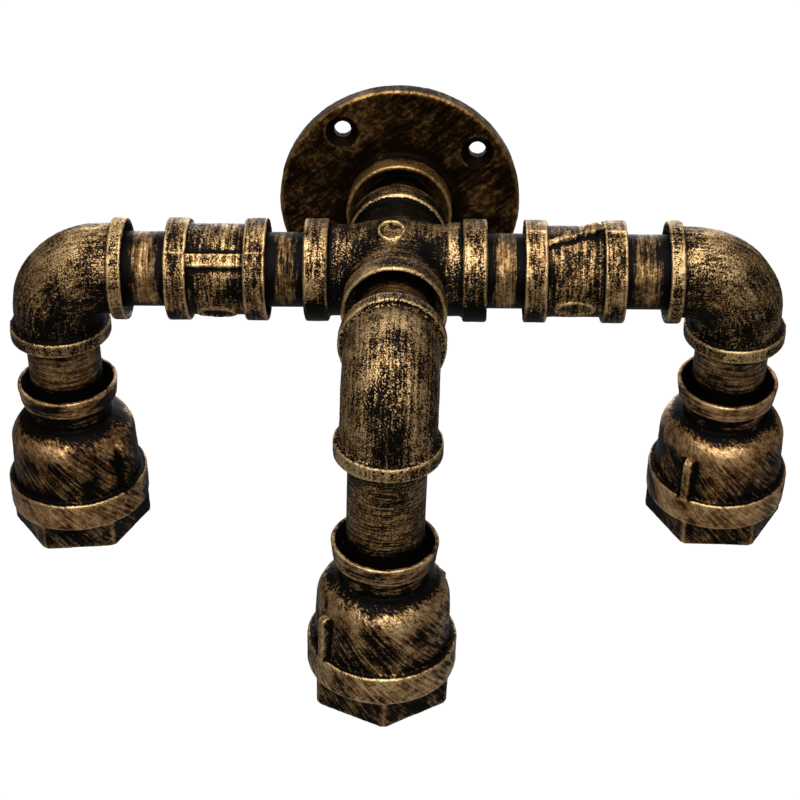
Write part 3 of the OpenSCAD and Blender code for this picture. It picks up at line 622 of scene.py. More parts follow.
def cross_tree():
    """Four banded branches that flow into each other, hollowed by two bores with funnelled mouths."""
    flash_round, flash_end, flash_foot = 0.0005, 0.0003, 0.0004
    rough_per_metre, rough_middle, rough_height, flash_slope = 420.0, 0.42, 0.006, -0.20
    pad_half_rim, pad_rise, pad_round, pad_foot = 0.0006, 0.0003, 0.0004, 0.0003
    density_slope, surface, spare_voxels = -120.0, 0.5, 3.0
    labels = ("Body", "Band", "Reach", "Band width", "Blend", "Bore", "Mouth", "Funnel", "Foot", "Rounding",
              "Voxel", "Flash rise", "Flash width", "Pad length", "Pad width", "Pad tilt", "Pad left",
              "Pad forward")
    bench, given, end = geometry_tree("Cross body", dict.fromkeys(labels, VALUE))
    place = bench.signal("GeometryNodeInputPosition")
    wide, deep, high = bench.split(place)
    reach, voxel = given["Reach"], given["Voxel"]
    flare = (given["Mouth"] - given["Bore"]) / given["Funnel"]
    funnel_start = reach - given["Funnel"]
    half_band = given["Band width"] * 0.5
    band_middle = reach - half_band
    tubes, ends, bands, hollows, rounds = [], [], [], [], []
    for run, side in ((wide, deep), (deep, wide)):
        around = bench.calc("SQRT", side * side + high * high)
        out = bench.calc("ABSOLUTE", run)
        lying = bench.calc("ABSOLUTE", out - band_middle) - half_band
        opening = bench.calc("MAXIMUM", (out - funnel_start) * flare, 0.0)
        rounds.append(around)
        tubes.append(around - given["Body"])
        ends.append(out - reach)
        bands.append(bench.calc("SMOOTH_MAX", around - given["Band"], lying, given["Rounding"]))
        hollows.append(given["Bore"] + opening - around)
    body = bench.calc("SMOOTH_MIN", *tubes, given["Blend"])
    for past in ends:
        body = bench.calc("MAXIMUM", body, past)
    for band in bands:
        body = bench.calc("SMOOTH_MIN", body, band, given["Foot"])
    half_flash = given["Flash width"] * 0.5
    flash_at = reach - given["Band width"] - half_flash
    beside = bench.calc("ABSOLUTE", wide - flash_at) - half_flash
    flash = bench.calc("SMOOTH_MAX", rounds[0] - (given["Body"] + given["Flash rise"]), beside, flash_round)
    rough = (bench.noise(place, rough_per_metre) - rough_middle) * rough_height
    flash = bench.calc("SMOOTH_MAX", flash, rounds[0] * flash_slope - (high + rough), flash_end)
    body = bench.calc("SMOOTH_MIN", body, flash, flash_foot)
    from_pad = deep + given["Pad forward"]
    pad_x = (wide + given["Pad left"]) / given["Pad length"]
    pad_y = from_pad / given["Pad width"]
    oval = bench.calc("SQRT", pad_x * pad_x + pad_y * pad_y)
    ring = bench.calc("ABSOLUTE", (oval - 1.0) * given["Pad width"]) - pad_half_rim
    tilted = bench.calc("MULTIPLY_ADD", from_pad, given["Pad tilt"], given["Band"]) + pad_rise
    pad = bench.calc("SMOOTH_MAX", ring, high - tilted, pad_round)
    pad = bench.calc("MAXIMUM", pad, given["Body"] - high)
    body = bench.calc("SMOOTH_MIN", body, pad, pad_foot)
    for hollow in hollows:
        body = bench.calc("MAXIMUM", body, hollow)
    room = reach + voxel * spare_voxels
    tall = given["Band"] + voxel * spare_voxels
    across = bench.calc("CEIL", room * 2.0 / voxel)
    cloud = bench.signal("GeometryNodeVolumeCube", {
        "Density": bench.calc("MULTIPLY_ADD", body, density_slope, surface, clamp=True),
        "Min": bench.join(room * -1.0, room * -1.0, tall * -1.0), "Max": bench.join(room, room, tall),
        "Resolution X": across, "Resolution Y": across,
        "Resolution Z": bench.calc("CEIL", tall * 2.0 / voxel)})
    skin = bench.signal("GeometryNodeVolumeToMesh", {"Volume": cloud, "Threshold": surface})
    return end(bench.signal("GeometryNodeSetShadeSmooth", {"Geometry": skin}))


def shaped(mesh, make_tree, tree_name, material, values):
    """Plain mesh that a geometry tree makes of another one."""
    tree = shared_group(make_tree, tree_name)
    holder = bpy.data.objects.new("shaping", mesh)
    bpy.context.scene.collection.objects.link(holder)
    modifier = holder.modifiers.new("Shaping", "NODES")
    modifier.node_group = tree
    settings = {**values, "Material": material}
    for item in tree.interface.items_tree:
        if item.in_out == "INPUT" and item.name in settings:
            modifier[item.identifier] = settings[item.name]
    evaluated = holder.evaluated_get(bpy.context.evaluated_depsgraph_get())
    made = bpy.data.meshes.new_from_object(evaluated)
    holder.modifiers.remove(modifier)
    bpy.data.objects.remove(holder)
    if not made.polygons:
        raise RuntimeError(f"the tree {tree_name} made no faces")
    return made


def arc_points(centre, radius, start, end, step):
    """Points along an arc, angles in radians."""
    fewest = 4
    count = max(fewest, math.ceil(abs(end - start) * radius / step))
    return [(centre[0] + radius * math.cos(a), centre[1] + radius * math.sin(a))
            for a in np.linspace(start, end, count + 1)]


def outline(corners, fine, coarse):
    """Closed profile through (radius, level, rounding) corners; a fourth item hides the edge after it."""
    most_of_side, bend_step = 0.49, fine * 0.7
    at = [np.array(corner[:2], dtype=float) for corner in corners]
    points = []
    steps = []
    for i, corner in enumerate(corners):
        step = coarse if len(corner) > 3 else fine
        rounding = corner[2]
        before = at[i - 1] - at[i]
        after = at[(i + 1) % len(at)] - at[i]
        if rounding <= 0:
            points.append(at[i])
            steps.append(step)
            continue
        size_before, size_after = np.linalg.norm(before), np.linalg.norm(after)
        before, after = before / size_before, after / size_after
        half = math.acos(np.clip(before @ after, -1, 1)) / 2
        cut = min(rounding / math.tan(half), most_of_side * size_before, most_of_side * size_after)
        rounding = cut * math.tan(half)
        inward = (before + after) / np.linalg.norm(before + after)
        centre = at[i] + inward * rounding / math.sin(half)
        from_way, to_way = at[i] + before * cut - centre, at[i] + after * cut - centre
        start = math.atan2(from_way[1], from_way[0])
        swing = away_from(math.atan2(to_way[1], to_way[0]), start)
        bend = arc_points(centre, rounding, start, start + swing, bend_step)
        points.extend(np.array(point) for point in bend)
        steps.extend([fine] * (len(bend) - 1) + [step])
    dense = []
    for i, point in enumerate(points):
        onward = points[(i + 1) % len(points)] - point
        count = max(1, math.ceil(np.linalg.norm(onward) / steps[i]))
        dense.extend(point + onward * part / count for part in range(count))
    return np.array(dense)


def brush_marks(profile, walls=()):
    """How sharp each profile point is and how freely a brush gets to it, both from 0 to 1."""
    bristle_reach, edge_span, tangent_span, lift_off, tiny = 0.012, 0.0008, 0.0003, 0.0001, 1e-12
    leans = np.radians(np.arange(-75, 76, 15))
    onward = np.roll(profile, -1, axis=0)
    at = np.concatenate([[0.0], np.cumsum(np.linalg.norm(onward - profile, axis=1))])
    loop = np.vstack([profile, profile[:1]])

    def along(level):
        level = level % at[-1]
        return np.column_stack([np.interp(level, at, loop[:, 0]), np.interp(level, at, loop[:, 1])])

    before = profile - along(at[:-1] - edge_span)
    after = along(at[:-1] + edge_span) - profile
    bend = np.arctan2(before[:, 0] * after[:, 1] - before[:, 1] * after[:, 0], (before * after).sum(axis=1))
    tangent = along(at[:-1] + tangent_span) - along(at[:-1] - tangent_span)
    outward = np.column_stack([tangent[:, 1], -tangent[:, 0]])
    outward /= np.linalg.norm(outward, axis=1)[:, None] + tiny
    origin = profile + outward * lift_off
    wall_from = np.vstack([profile, *[np.array(wall[:1]) for wall in walls]])
    wall_way = np.vstack([onward, *[np.array(wall[1:]) for wall in walls]]) - wall_from
    gap = wall_from[None] - origin[:, None]
    blocked = np.zeros(len(profile))
    for lean in leans:
        way = outward * math.cos(lean) + np.column_stack([-outward[:, 1], outward[:, 0]]) * math.sin(lean)
        cross = way[:, None, 0] * wall_way[None, :, 1] - way[:, None, 1] * wall_way[None, :, 0]
        cross = np.where(np.abs(cross) < tiny, tiny, cross)
        away = (gap[..., 0] * wall_way[None, :, 1] - gap[..., 1] * wall_way[None, :, 0]) / cross
        share = (gap[..., 0] * way[:, None, 1] - gap[..., 1] * way[:, None, 0]) / cross
        hit = (away > 0) & (away < bristle_reach) & (share >= 0) & (share <= 1)
        nearest = np.where(hit, away, bristle_reach).min(axis=1)
        blocked += (1 - nearest / bristle_reach) * math.cos(lean)
    return np.clip(bend, 0, 1), 1 - blocked / np.cos(leans).sum()


def add_marks(mesh, brush, edge, reach):
    """Writes the brush attributes onto a mesh; edge and reach also carry painted highlight and painted shade.
    """
    marks = {"brush_space": ("FLOAT_VECTOR", "vector", brush), "edge": ("FLOAT", "value", edge),
             "reach": ("FLOAT", "value", reach)}
    for name, (kind, field, values) in marks.items():
        mark = mesh.attributes.get(name) or mesh.attributes.new(name, kind, "POINT")
        mark.data.foreach_set(field, values.astype(np.float32).ravel())


def mesh_of(name, points, quads, brush, edge, reach):
    """Smooth mesh with the brush attributes on its points."""
    mesh = bpy.data.meshes.new(name)
    mesh.vertices.add(len(points))
    mesh.vertices.foreach_set("co", points.astype(np.float32).ravel())
    mesh.loops.add(quads.size)
    mesh.loops.foreach_set("vertex_index", quads.astype(np.int32).ravel())
    mesh.polygons.add(len(quads))
    mesh.polygons.foreach_set("loop_start", np.arange(0, quads.size, quads.shape[1], dtype=np.int32))
    mesh.update(calc_edges=True)
    mesh.shade_smooth()
    add_marks(mesh, brush, edge, reach)
    return mesh


def mesh_points(mesh):
    """Points of a mesh as an array."""
    points = np.empty(len(mesh.vertices) * 3, dtype=np.float32)
    mesh.vertices.foreach_get("co", points)
    return points.reshape(-1, 3).astype(float)


def straight(radius, turn, along):
    """Points of rings about the Z axis."""
    return np.stack([radius * np.cos(turn), radius * np.sin(turn), along], axis=-1)


def turned_mesh(name, profile, angles, walls=(), place=straight, lift=None, strokes=straight):
    """Mesh of a profile carried round an axis or along a path."""
    rows, columns = len(profile), len(angles)
    edge, reach = brush_marks(profile, walls)
    radius, along, edge, reach = [np.repeat(values[:, None], columns, axis=1)
                                  for values in (profile[:, 0], profile[:, 1], edge, reach)]
    turn = np.repeat(np.asarray(angles)[None], rows, axis=0)
    if lift:
        radius, edge, reach = lift(radius, along, turn, edge, reach)
    index = np.arange(rows * columns).reshape(rows, columns)
    right = np.roll(index, -1, axis=1)
    quads = np.stack([index, right, np.roll(right, -1, axis=0), np.roll(index, -1, axis=0)], axis=-1)
    brush = strokes(radius, turn, along).reshape(-1, 3)
    points = place(radius, turn, along).reshape(-1, 3)
    return mesh_of(name, points, quads.reshape(-1, 4), brush, edge, reach)


def angle_steps(radius, step, details=()):
    """Angles round a circle, closer together about each (angle, half width) detail."""
    points_per_detail, least_share = 15, 0.15
    base = np.linspace(0, TURN, math.ceil(TURN * radius / step), endpoint=False)
    extra = [(at + np.linspace(-half, half, points_per_detail)) % TURN for at, half in details]
    steps = np.sort(np.concatenate([base, *extra]))
    return steps[np.concatenate([[True], np.diff(steps) > least_share * step / radius])]


def smooth_step(value, low, high):
    """Smooth 0 to 1 as a value goes from low to high."""
    part = np.clip((value - low) / (high - low), 0, 1)
    return part * part * (3 - 2 * part)


def hump(distance, width):
    """Smooth hump of height 1 where a distance is 0."""
    return np.exp(-(distance / width) ** 2)


def on_face(radius, face):
    """1 on a turned face of this radius and above it, 0 just below it."""
    return smooth_step(radius, face - 0.0006, face - 0.0001)


def away_from(turn, at):
    """Signed angle from one direction to another."""
    return (turn - at + math.pi) % TURN - math.pi


def ragged(value):
    """Uneven wave from -1 to 1, for rough cast edges."""
    return 0.5 * np.sin(37 * value + 1) + 0.3 * np.sin(83 * value + 2) + 0.2 * np.sin(151 * value)


def opposite_pair(at, half_width):
    """The places of two ribs on opposite sides, each with the half width of its detail."""
    return [(at % TURN, half_width), ((at + math.pi) % TURN, half_width)]


def flat_rib(radius, turn, at, face, width, strength):
    """Radius with a flat-faced rib raised on it, where the rib's edges and face lie, and the strips beside
    its feet for painted shadow.
    """
    off = away_from(turn, at)
    past_side = np.abs(radius * np.sin(off)) - width / 2
    here = strength * (np.cos(off) > 0)
    weight = (1 - smooth_step(past_side, -0.0003, 0.0005)) * here
    raised = np.maximum(radius, face / np.maximum(np.cos(off), 0.5))
    rim = hump(past_side + 0.0004, 0.0005) * here
    # Strips just beside the rib's feet, where painted shadow goes
    foot = hump(past_side - 0.0009, 0.0007) * here
    return radius + (raised - radius) * weight, rim, weight, foot


def framed(origin, along, first):
    """Matrix of a piece's own frame: Z along one direction and X near another."""
    z_axis = Vector(along).normalized()
    x_axis = Vector(first) - z_axis * z_axis.dot(Vector(first))
    x_axis.normalize()
    y_axis = z_axis.cross(x_axis)
    turn = Matrix((x_axis, y_axis, z_axis)).transposed().to_4x4()
    return Matrix.Translation(Vector(origin)) @ turn


def record_item(items, name):
    """Item of a record's list that has this name."""
    return next(item for item in items if item["name"] == name)


def arm_leg(side):
    """Elbow centre of an arm and the direction of its leg."""
    joint = record_item(RECORD["behaviour"]["joints"], f"{side}_arm_swing")
    mount = record_item(RECORD["mounts"], f"{side}_lamp_socket")
    return Vector(joint["pos_m"]), Vector(mount["axis"]).normalized()


def elbow_frame(side):
    """Frame of an elbow: its centre, X out of its mouth and Z up its leg."""
    centre, leg = arm_leg(side)
    return framed(centre, -leg, MOUTH_WAY[side])


def lamp_frame(side, sizes):
    """Frame of a lamp: bell's top, Z down its leg and X to the right."""
    mount = record_item(RECORD["mounts"], f"{side}_lamp_socket")
    leg = arm_leg(side)[1]
    socket = sizes.shell_level + sizes.shell_base + mount["dims"]["length_mm"] / 2 / MM_PER_METRE
    return framed(Vector(mount["pos_m"]) - leg * socket, leg, RIGHT)


def paint_shade_on_turned_away_faces(mesh):
    """Lessens the reach on faces turned away from where the brush and the light came from: painted shade
    along with bronze the brush missed.
    """
    if "reach" not in mesh.attributes:
        return
    normals = np.empty(len(mesh.vertices) * 3, dtype=np.float32)
    mesh.vertices.foreach_get("normal", normals)
    turned_away, turned_to = -0.15, 0.55
    facing = (normals.reshape(-1, 3) @ np.array(BRUSH_AND_LIGHT_WAYS).T).max(axis=1)
    reach = np.empty(len(mesh.vertices), dtype=np.float32)
    mesh.attributes["reach"].data.foreach_get("value", reach)
    reach = reach - AWAY_PAINTED_SHADE * (1 - smooth_step(facing, turned_away, turned_to))
    mesh.attributes["reach"].data.foreach_set("value", reach.astype(np.float32))


def set_piece(name, mesh, matrix, body, node):
    """Sets a finished mesh in its place, on its body and instead of its node."""
    mesh.transform(matrix)
    mesh.update()
    paint_shade_on_turned_away_faces(mesh)
    piece = bpy.data.objects.new(name, mesh)
    bpy.context.scene.collection.objects.link(piece)
    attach(piece, body)
    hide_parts(node)
    return piece


def coat_node(node, material):
    """Gives a kept node its finish."""
    mesh = frame["nodes"][node].data
    mesh.materials.clear()
    mesh.materials.append(material)


def cast_skin(mesh, sizes, material, seed):
    """Casting with its sand-grain skin and its finish."""
    values = {"Grain size": sizes.grain_size, "Grain depth": sizes.grain_depth,
              "Lump depth": sizes.lump_depth, "Seed": float(sizes.seed + seed)}
    return shaped(mesh, cast_skin_tree, "Cast skin", material, values)


def mouth_radius(sizes):
    """Radius of a fitting's mouth inside its rim."""
    return sizes.band_radius - sizes.rim_land


def pipe_walls(sizes, total):
    """Walls of the pipes before the first and the second mouth of a fitting."""
    pipe = sizes.pipe_radius
    return [[(pipe, -PIPE_SEEN), (pipe, 0)], [(pipe, total), (pipe, total + PIPE_SEEN)]]


def banded_corners(sizes, total, wide, inside=()):
    """Corners of a body with a band at both ends, with further corners inside between its funnels."""
    band, body, mouth, bore = sizes.band_radius, sizes.body_radius, mouth_radius(sizes), sizes.bore_radius
    edge, foot = sizes.band_round, sizes.band_foot
    return [
        (mouth, 0, LIP_ROUND), (band, 0, edge), (band, wide, edge), (body, wide, foot),
        (body, total - wide, foot), (band, total - wide, edge), (band, total, edge),
        (mouth, total, LIP_ROUND), (bore, total - sizes.mouth_depth, 0, "hidden"), *inside,
        (bore, sizes.mouth_depth, 0)]


class PieceOperator:
    """What all the light's operators share."""

    bl_options = {"REGISTER"}

    @staticmethod
    def settings(context):
        """Sizes and finish of the light."""
        return context.scene.pipe_light_sizes, context.scene.pipe_light_finish


class PIPELIGHT_OT_flange(PieceOperator, bpy.types.Operator):
    """Build the wall flange with its boss and countersunk holes"""

    bl_idname = "pipe_light.flange"
    bl_label = "Wall flange"

    def execute(self, context):
        sizes, finish = self.settings(context)
        boss, plate = sizes.boss_radius, sizes.flange_radius
        face, height = sizes.flange_thickness, sizes.flange_height
        bore, inlet, deep = sizes.bore_radius, sizes.inlet_radius, sizes.inlet_depth
        corners = [
            (inlet, 0, 0, "hidden"), (plate, 0, EDGE_ROUND), (plate, face, sizes.flange_round),
            (boss, face, sizes.boss_fillet), (boss, height, sizes.band_round),
            (boss - sizes.boss_land, height, LIP_ROUND), (bore, height - sizes.boss_mouth, 0, "hidden"),
            (bore, deep, 0, "hidden"), (inlet, deep, 0, "hidden")]
        profile = outline(corners, sizes.mesh_step * 1.1, sizes.hidden_step)
        walls = pipe_walls(sizes, height)[1:]
        mesh = turned_mesh("wall_flange_plate", profile, angle_steps(plate, sizes.mesh_step * 1.3), walls)
        material = brushed_finish("Flange iron", finish)
        holes = {"Circle": sizes.screw_circle, "Count": sizes.screw_count, "Turn": sizes.screw_turn,
                 "Hole": sizes.screw_hole, "Head": sizes.screw_head, "Face": face}
        mesh = shaped(mesh, screw_hole_tree, "Screw holes", material, holes)
        self.mark(mesh, sizes, brush_marks(profile, walls), profile)
        mesh = cast_skin(mesh, sizes, material, 1)
        matrix = framed((0, 0, 0), OUT, RIGHT)
        set_piece("wall_flange_casting", mesh, matrix, "fixture", "wall_flange")
        return {"FINISHED"}

    @staticmethod
    def mark(mesh, sizes, marks, profile):
        """Brush attributes once the holes are cut: slanting strokes, a bright boss and clean holes."""
        boss_worn, boss_most, funnel_worn, plate_worn, hole_worn, hole_most = 1.25, 1.4, 0.95, 0.6, 0.4, 1.5
        slant = math.radians(38)
        points = mesh_points(mesh)
        around, level = np.hypot(points[:, 0], points[:, 1]), points[:, 2]
        apart = np.hypot(around[:, None] - profile[None, :, 0], level[:, None] - profile[None, :, 1])
        nearest = apart.argmin(axis=1)
        edge, reach = marks[0][nearest], marks[1][nearest]
        boss, plate = sizes.boss_radius, sizes.flange_radius
        face, head = sizes.flange_thickness, sizes.screw_head
        mouth = boss - sizes.boss_land
        foot = face + sizes.boss_fillet
        on_boss = smooth_step(level, foot - 0.0005, foot + 0.0010)
        on_boss = on_boss * smooth_step(around, mouth - 0.0004, boss - 0.0004)
        edge = np.clip(edge + boss_worn * on_boss, 0, boss_most)
        in_funnel = (around < mouth) & (level > sizes.flange_height - sizes.boss_mouth)
        reach = np.where(in_funnel, 1.0, reach)
        edge = np.where(in_funnel, np.maximum(edge, funnel_worn), edge)
        on_edge = smooth_step(around, plate - 0.0014, plate - 0.0004)
        edge = edge + plate_worn * on_edge * smooth_step(level, face - 0.0016, face - 0.0008)
        turns = sizes.screw_turn + np.arange(sizes.screw_count) * TURN / sizes.screw_count
        holes = sizes.screw_circle * np.column_stack([np.cos(turns), np.sin(turns)])
        away = np.linalg.norm(points[:, None, :2] - holes[None], axis=2).min(axis=1)
        reach = reach * smooth_step(away, head - 0.0004, head + 0.0002)
        edge = np.clip(edge + hole_worn * hump(away - head - 0.0003, 0.0006), 0, hole_most)
        stroke = points[:, 0] * math.cos(slant) + points[:, 1] * math.sin(slant)
        across = points[:, 1] * math.cos(slant) - points[:, 0] * math.sin(slant)
        add_marks(mesh, np.column_stack([stroke, level, across]), edge, reach)


class PIPELIGHT_OT_nipples(PieceOperator, bpy.types.Operator):
    """Build the pipe nipples with the threads that show at their mouths"""

    bl_idname = "pipe_light.nipples"
    bl_label = "Pipe nipples"

    def execute(self, context):
        sizes, finish = self.settings(context)
        places = {"flange_nipple": (OUT, RIGHT), "front_nipple": (OUT, RIGHT)}
        for side, way in (("left", -1), ("right", 1)):
            for part in ("inner", "outer"):
                places[f"{side}_{part}_nipple"] = ((way, 0, 0), OUT)
        for node, (way, first) in places.items():
            axis = 0 if way[0] else 1
            origin = middle(node) - Vector(way) * half_span(node, axis)
            self.nipple(sizes, finish, node, framed(origin, way, first), 2 * half_span(node, axis), "fixture")
        for side in SIDES:
            centre, leg = arm_leg(side)
            origin = centre + leg * (sizes.elbow_reach - sizes.thread_engage)
            top = lamp_frame(side, sizes).translation
            total = (top - centre).length - sizes.elbow_reach + 2 * sizes.thread_engage
            matrix = framed(origin, leg, RIGHT)
            self.nipple(sizes, finish, f"{side}_drop_nipple", matrix, total, f"{side}_arm")
        return {"FINISHED"}

    @staticmethod
    def nipple(sizes, finish, node, matrix, total, body):
        """One nipple along Z, from its first end to its second."""
        step_round, end_missed_and_shade, end_length = 0.0002, 0.30, 0.0045
        engage, rim = sizes.thread_engage, mouth_radius(sizes)
        start = engage - sizes.pipe_in
        cut = start - sizes.thread_show
        core, root, pipe, bore = sizes.thread_radius, sizes.thread_root, sizes.pipe_radius, sizes.pipe_bore
        corners = [
            (core, 0, 0, "hidden"), (core, cut, 0), (root, cut + 0.0004, 0), (root, start - 0.0004, 0),
            (pipe, start, step_round), (pipe, total - start, step_round), (root, total - start + 0.0004, 0),
            (root, total - cut - 0.0004, 0), (core, total - cut, 0, "hidden"), (core, total, 0, "hidden"),
            (bore, total, 0, "hidden"), (bore, 0, 0, "hidden")]
        profile = outline(corners, sizes.mesh_step * 1.2, sizes.hidden_step)
        in_open_mouths = node in ("flange_nipple", "front_nipple")
        walls = []
        for mouth, inward in ((engage, -1), (total - engage, 1)):
            if not in_open_mouths:
                walls.append([(rim, mouth), (sizes.band_radius, mouth)])
            walls.append([(sizes.bore_radius, mouth + inward * sizes.mouth_depth), (rim, mouth)])

        # Less bronze towards both mouths: painted shade where the pipe goes into a fitting, along with bronze
        # the brush left out there
        def lift(radius, along, turn, edge, reach):
            into = np.minimum(along - engage, total - engage - along)
            return radius, edge, reach - end_missed_and_shade * (1 - smooth_step(into, 0.0, end_length))

        if in_open_mouths:
            look, lift = "Rust pipe", None
        else:
            look = "Scratched pipe" if node == "front_drop_nipple" else "Worn pipe"
        steps = angle_steps(pipe, sizes.mesh_step * 1.4)
        mesh = turned_mesh(node + "_tube", profile, steps, walls, lift=lift)
        ridge = (core - root) * 0.6
        values = {"Radius": core - ridge, "Pitch": sizes.thread_pitch,
                  "Turns": sizes.thread_show / sizes.thread_pitch - 0.3, "Ridge": ridge,
                  "First start": cut + 0.0002, "Second start": total - start + 0.0003}
        mesh = shaped(mesh, thread_tree, "Thread turns", brushed_finish(look, finish), values)
        set_piece(node + "_pipe", mesh, matrix, body, node)


class PIPELIGHT_OT_cross(PieceOperator, bpy.types.Operator):
    """Build the cross whose four banded branches flow into each other"""

    bl_idname = "pipe_light.cross"
    bl_label = "Cross"

    def execute(self, context):
        sizes, finish = self.settings(context)
        softer = 1.6
        values = {"Body": sizes.body_radius, "Band": sizes.band_radius, "Reach": sizes.cross_reach,
                  "Band width": sizes.cross_band, "Blend": sizes.cross_blend, "Bore": sizes.bore_radius,
                  "Mouth": mouth_radius(sizes), "Funnel": sizes.mouth_depth, "Foot": sizes.band_foot * softer,
                  "Rounding": sizes.band_round * softer, "Voxel": sizes.mesh_step,
                  "Flash rise": sizes.flash_rise, "Flash width": sizes.flash_width,
                  "Pad length": sizes.pad_length, "Pad width": sizes.pad_width,
                  "Pad tilt": math.tan(sizes.pad_tilt), "Pad left": sizes.pad_left,
                  "Pad forward": sizes.pad_forward}
        material = brushed_finish("Cast cross", finish)
        mesh = shaped(bpy.data.meshes.new("cross_blank"), cross_tree, "Cross body", material, values)
        self.mark(mesh, sizes)
        mesh = cast_skin(mesh, sizes, material, 2)
        matrix = Matrix.Translation(middle("cross_fitting"))
        set_piece("cross_casting", mesh, matrix, "fixture", "cross_fitting")
        return {"FINISHED"}

    @staticmethod
    def mark(mesh, sizes):
        """Brush attributes: rims and band edges are sharp, funnels, corners and band feet are hidden, and the
        underside takes painted shade.
        """
        flash_worn, pad_worn, band_worn, inside_reach = 0.5, 0.9, 0.16, 0.15
        corner_missed, valley_missed, underside_missed_and_shade, behind_missed, back_missed = 0.50, 0.40, 0.55, 0.36, 0.14
        points = mesh_points(mesh)
        x_at, y_at, z_at = points.T
        run = np.abs(points[:, :2]).max(axis=1)
        side = np.abs(points[:, :2]).min(axis=1)
        on_x = np.abs(x_at) >= np.abs(y_at)
        around = np.hypot(side, z_at)
        band, body, mouth, end = sizes.band_radius, sizes.body_radius, mouth_radius(sizes), sizes.cross_reach
        foot = end - sizes.cross_band
        rim = hump(run - end, 0.0008) + hump(run - foot, 0.0008)
        lip = hump(run - end, 0.0010) * (around > mouth - 0.0004)
        edge = np.clip(rim * (around > band - 0.0010) + lip, 0, 1)
        on_flash = (x_at > foot - sizes.flash_width - 0.0004) & (x_at < foot)
        on_flash = on_flash & (around > body + 0.0003) & (run < foot)
        pad_x, pad_y = x_at + sizes.pad_left, y_at + sizes.pad_forward
        on_pad = np.hypot(pad_x / sizes.pad_length, pad_y / sizes.pad_width) < 1.15
        on_pad = on_pad & (z_at > band + pad_y * math.tan(sizes.pad_tilt) - 0.0006)
        edge = np.clip(edge + flash_worn * on_flash + pad_worn * on_pad, 0, 1)
        on_band = smooth_step(run, foot - 0.0006, foot + 0.0006) * (around > mouth - 0.0002)
        edge = np.clip(edge + band_worn * on_band, 0, 1)
        corner = hump(foot - run, 0.0018) * (around < body + 0.0012) * (run < foot + 0.0002)
        valley = hump(np.hypot(run, z_at) - body, 0.0045) * (1 - (z_at / band) ** 2)
        # Less bronze on the underside: painted shade along with bronze the brush missed there
        under = smooth_step(-z_at, 0.001 * (1 - on_band), 0.008) * (1 - 0.6 * on_flash)
        reach = 1 - np.clip(corner_missed * corner + valley_missed * valley + underside_missed_and_shade * under, 0, 1)
        behind = smooth_step(y_at, 0.007, 0.012) * (1 - smooth_step(y_at, foot - 0.0006, foot))
        back_face = smooth_step(y_at, foot, foot + 0.0008) * (1 - smooth_step(rim, 0.2, 0.6))
        reach = reach - (behind_missed * behind + back_missed * back_face) * (1 - on_x)
        inside = (around < body - 0.0015) & (run > body)
        funnel = (run > foot) & (around < mouth - 0.0001)
        reach = np.where(funnel, 1.0, np.where(inside, inside_reach, reach))
        brush_x = np.column_stack([y_at, z_at, x_at])
        brush_y = np.column_stack([x_at, z_at, y_at])
        add_marks(mesh, np.where(on_x[:, None], brush_x, brush_y), edge, reach)


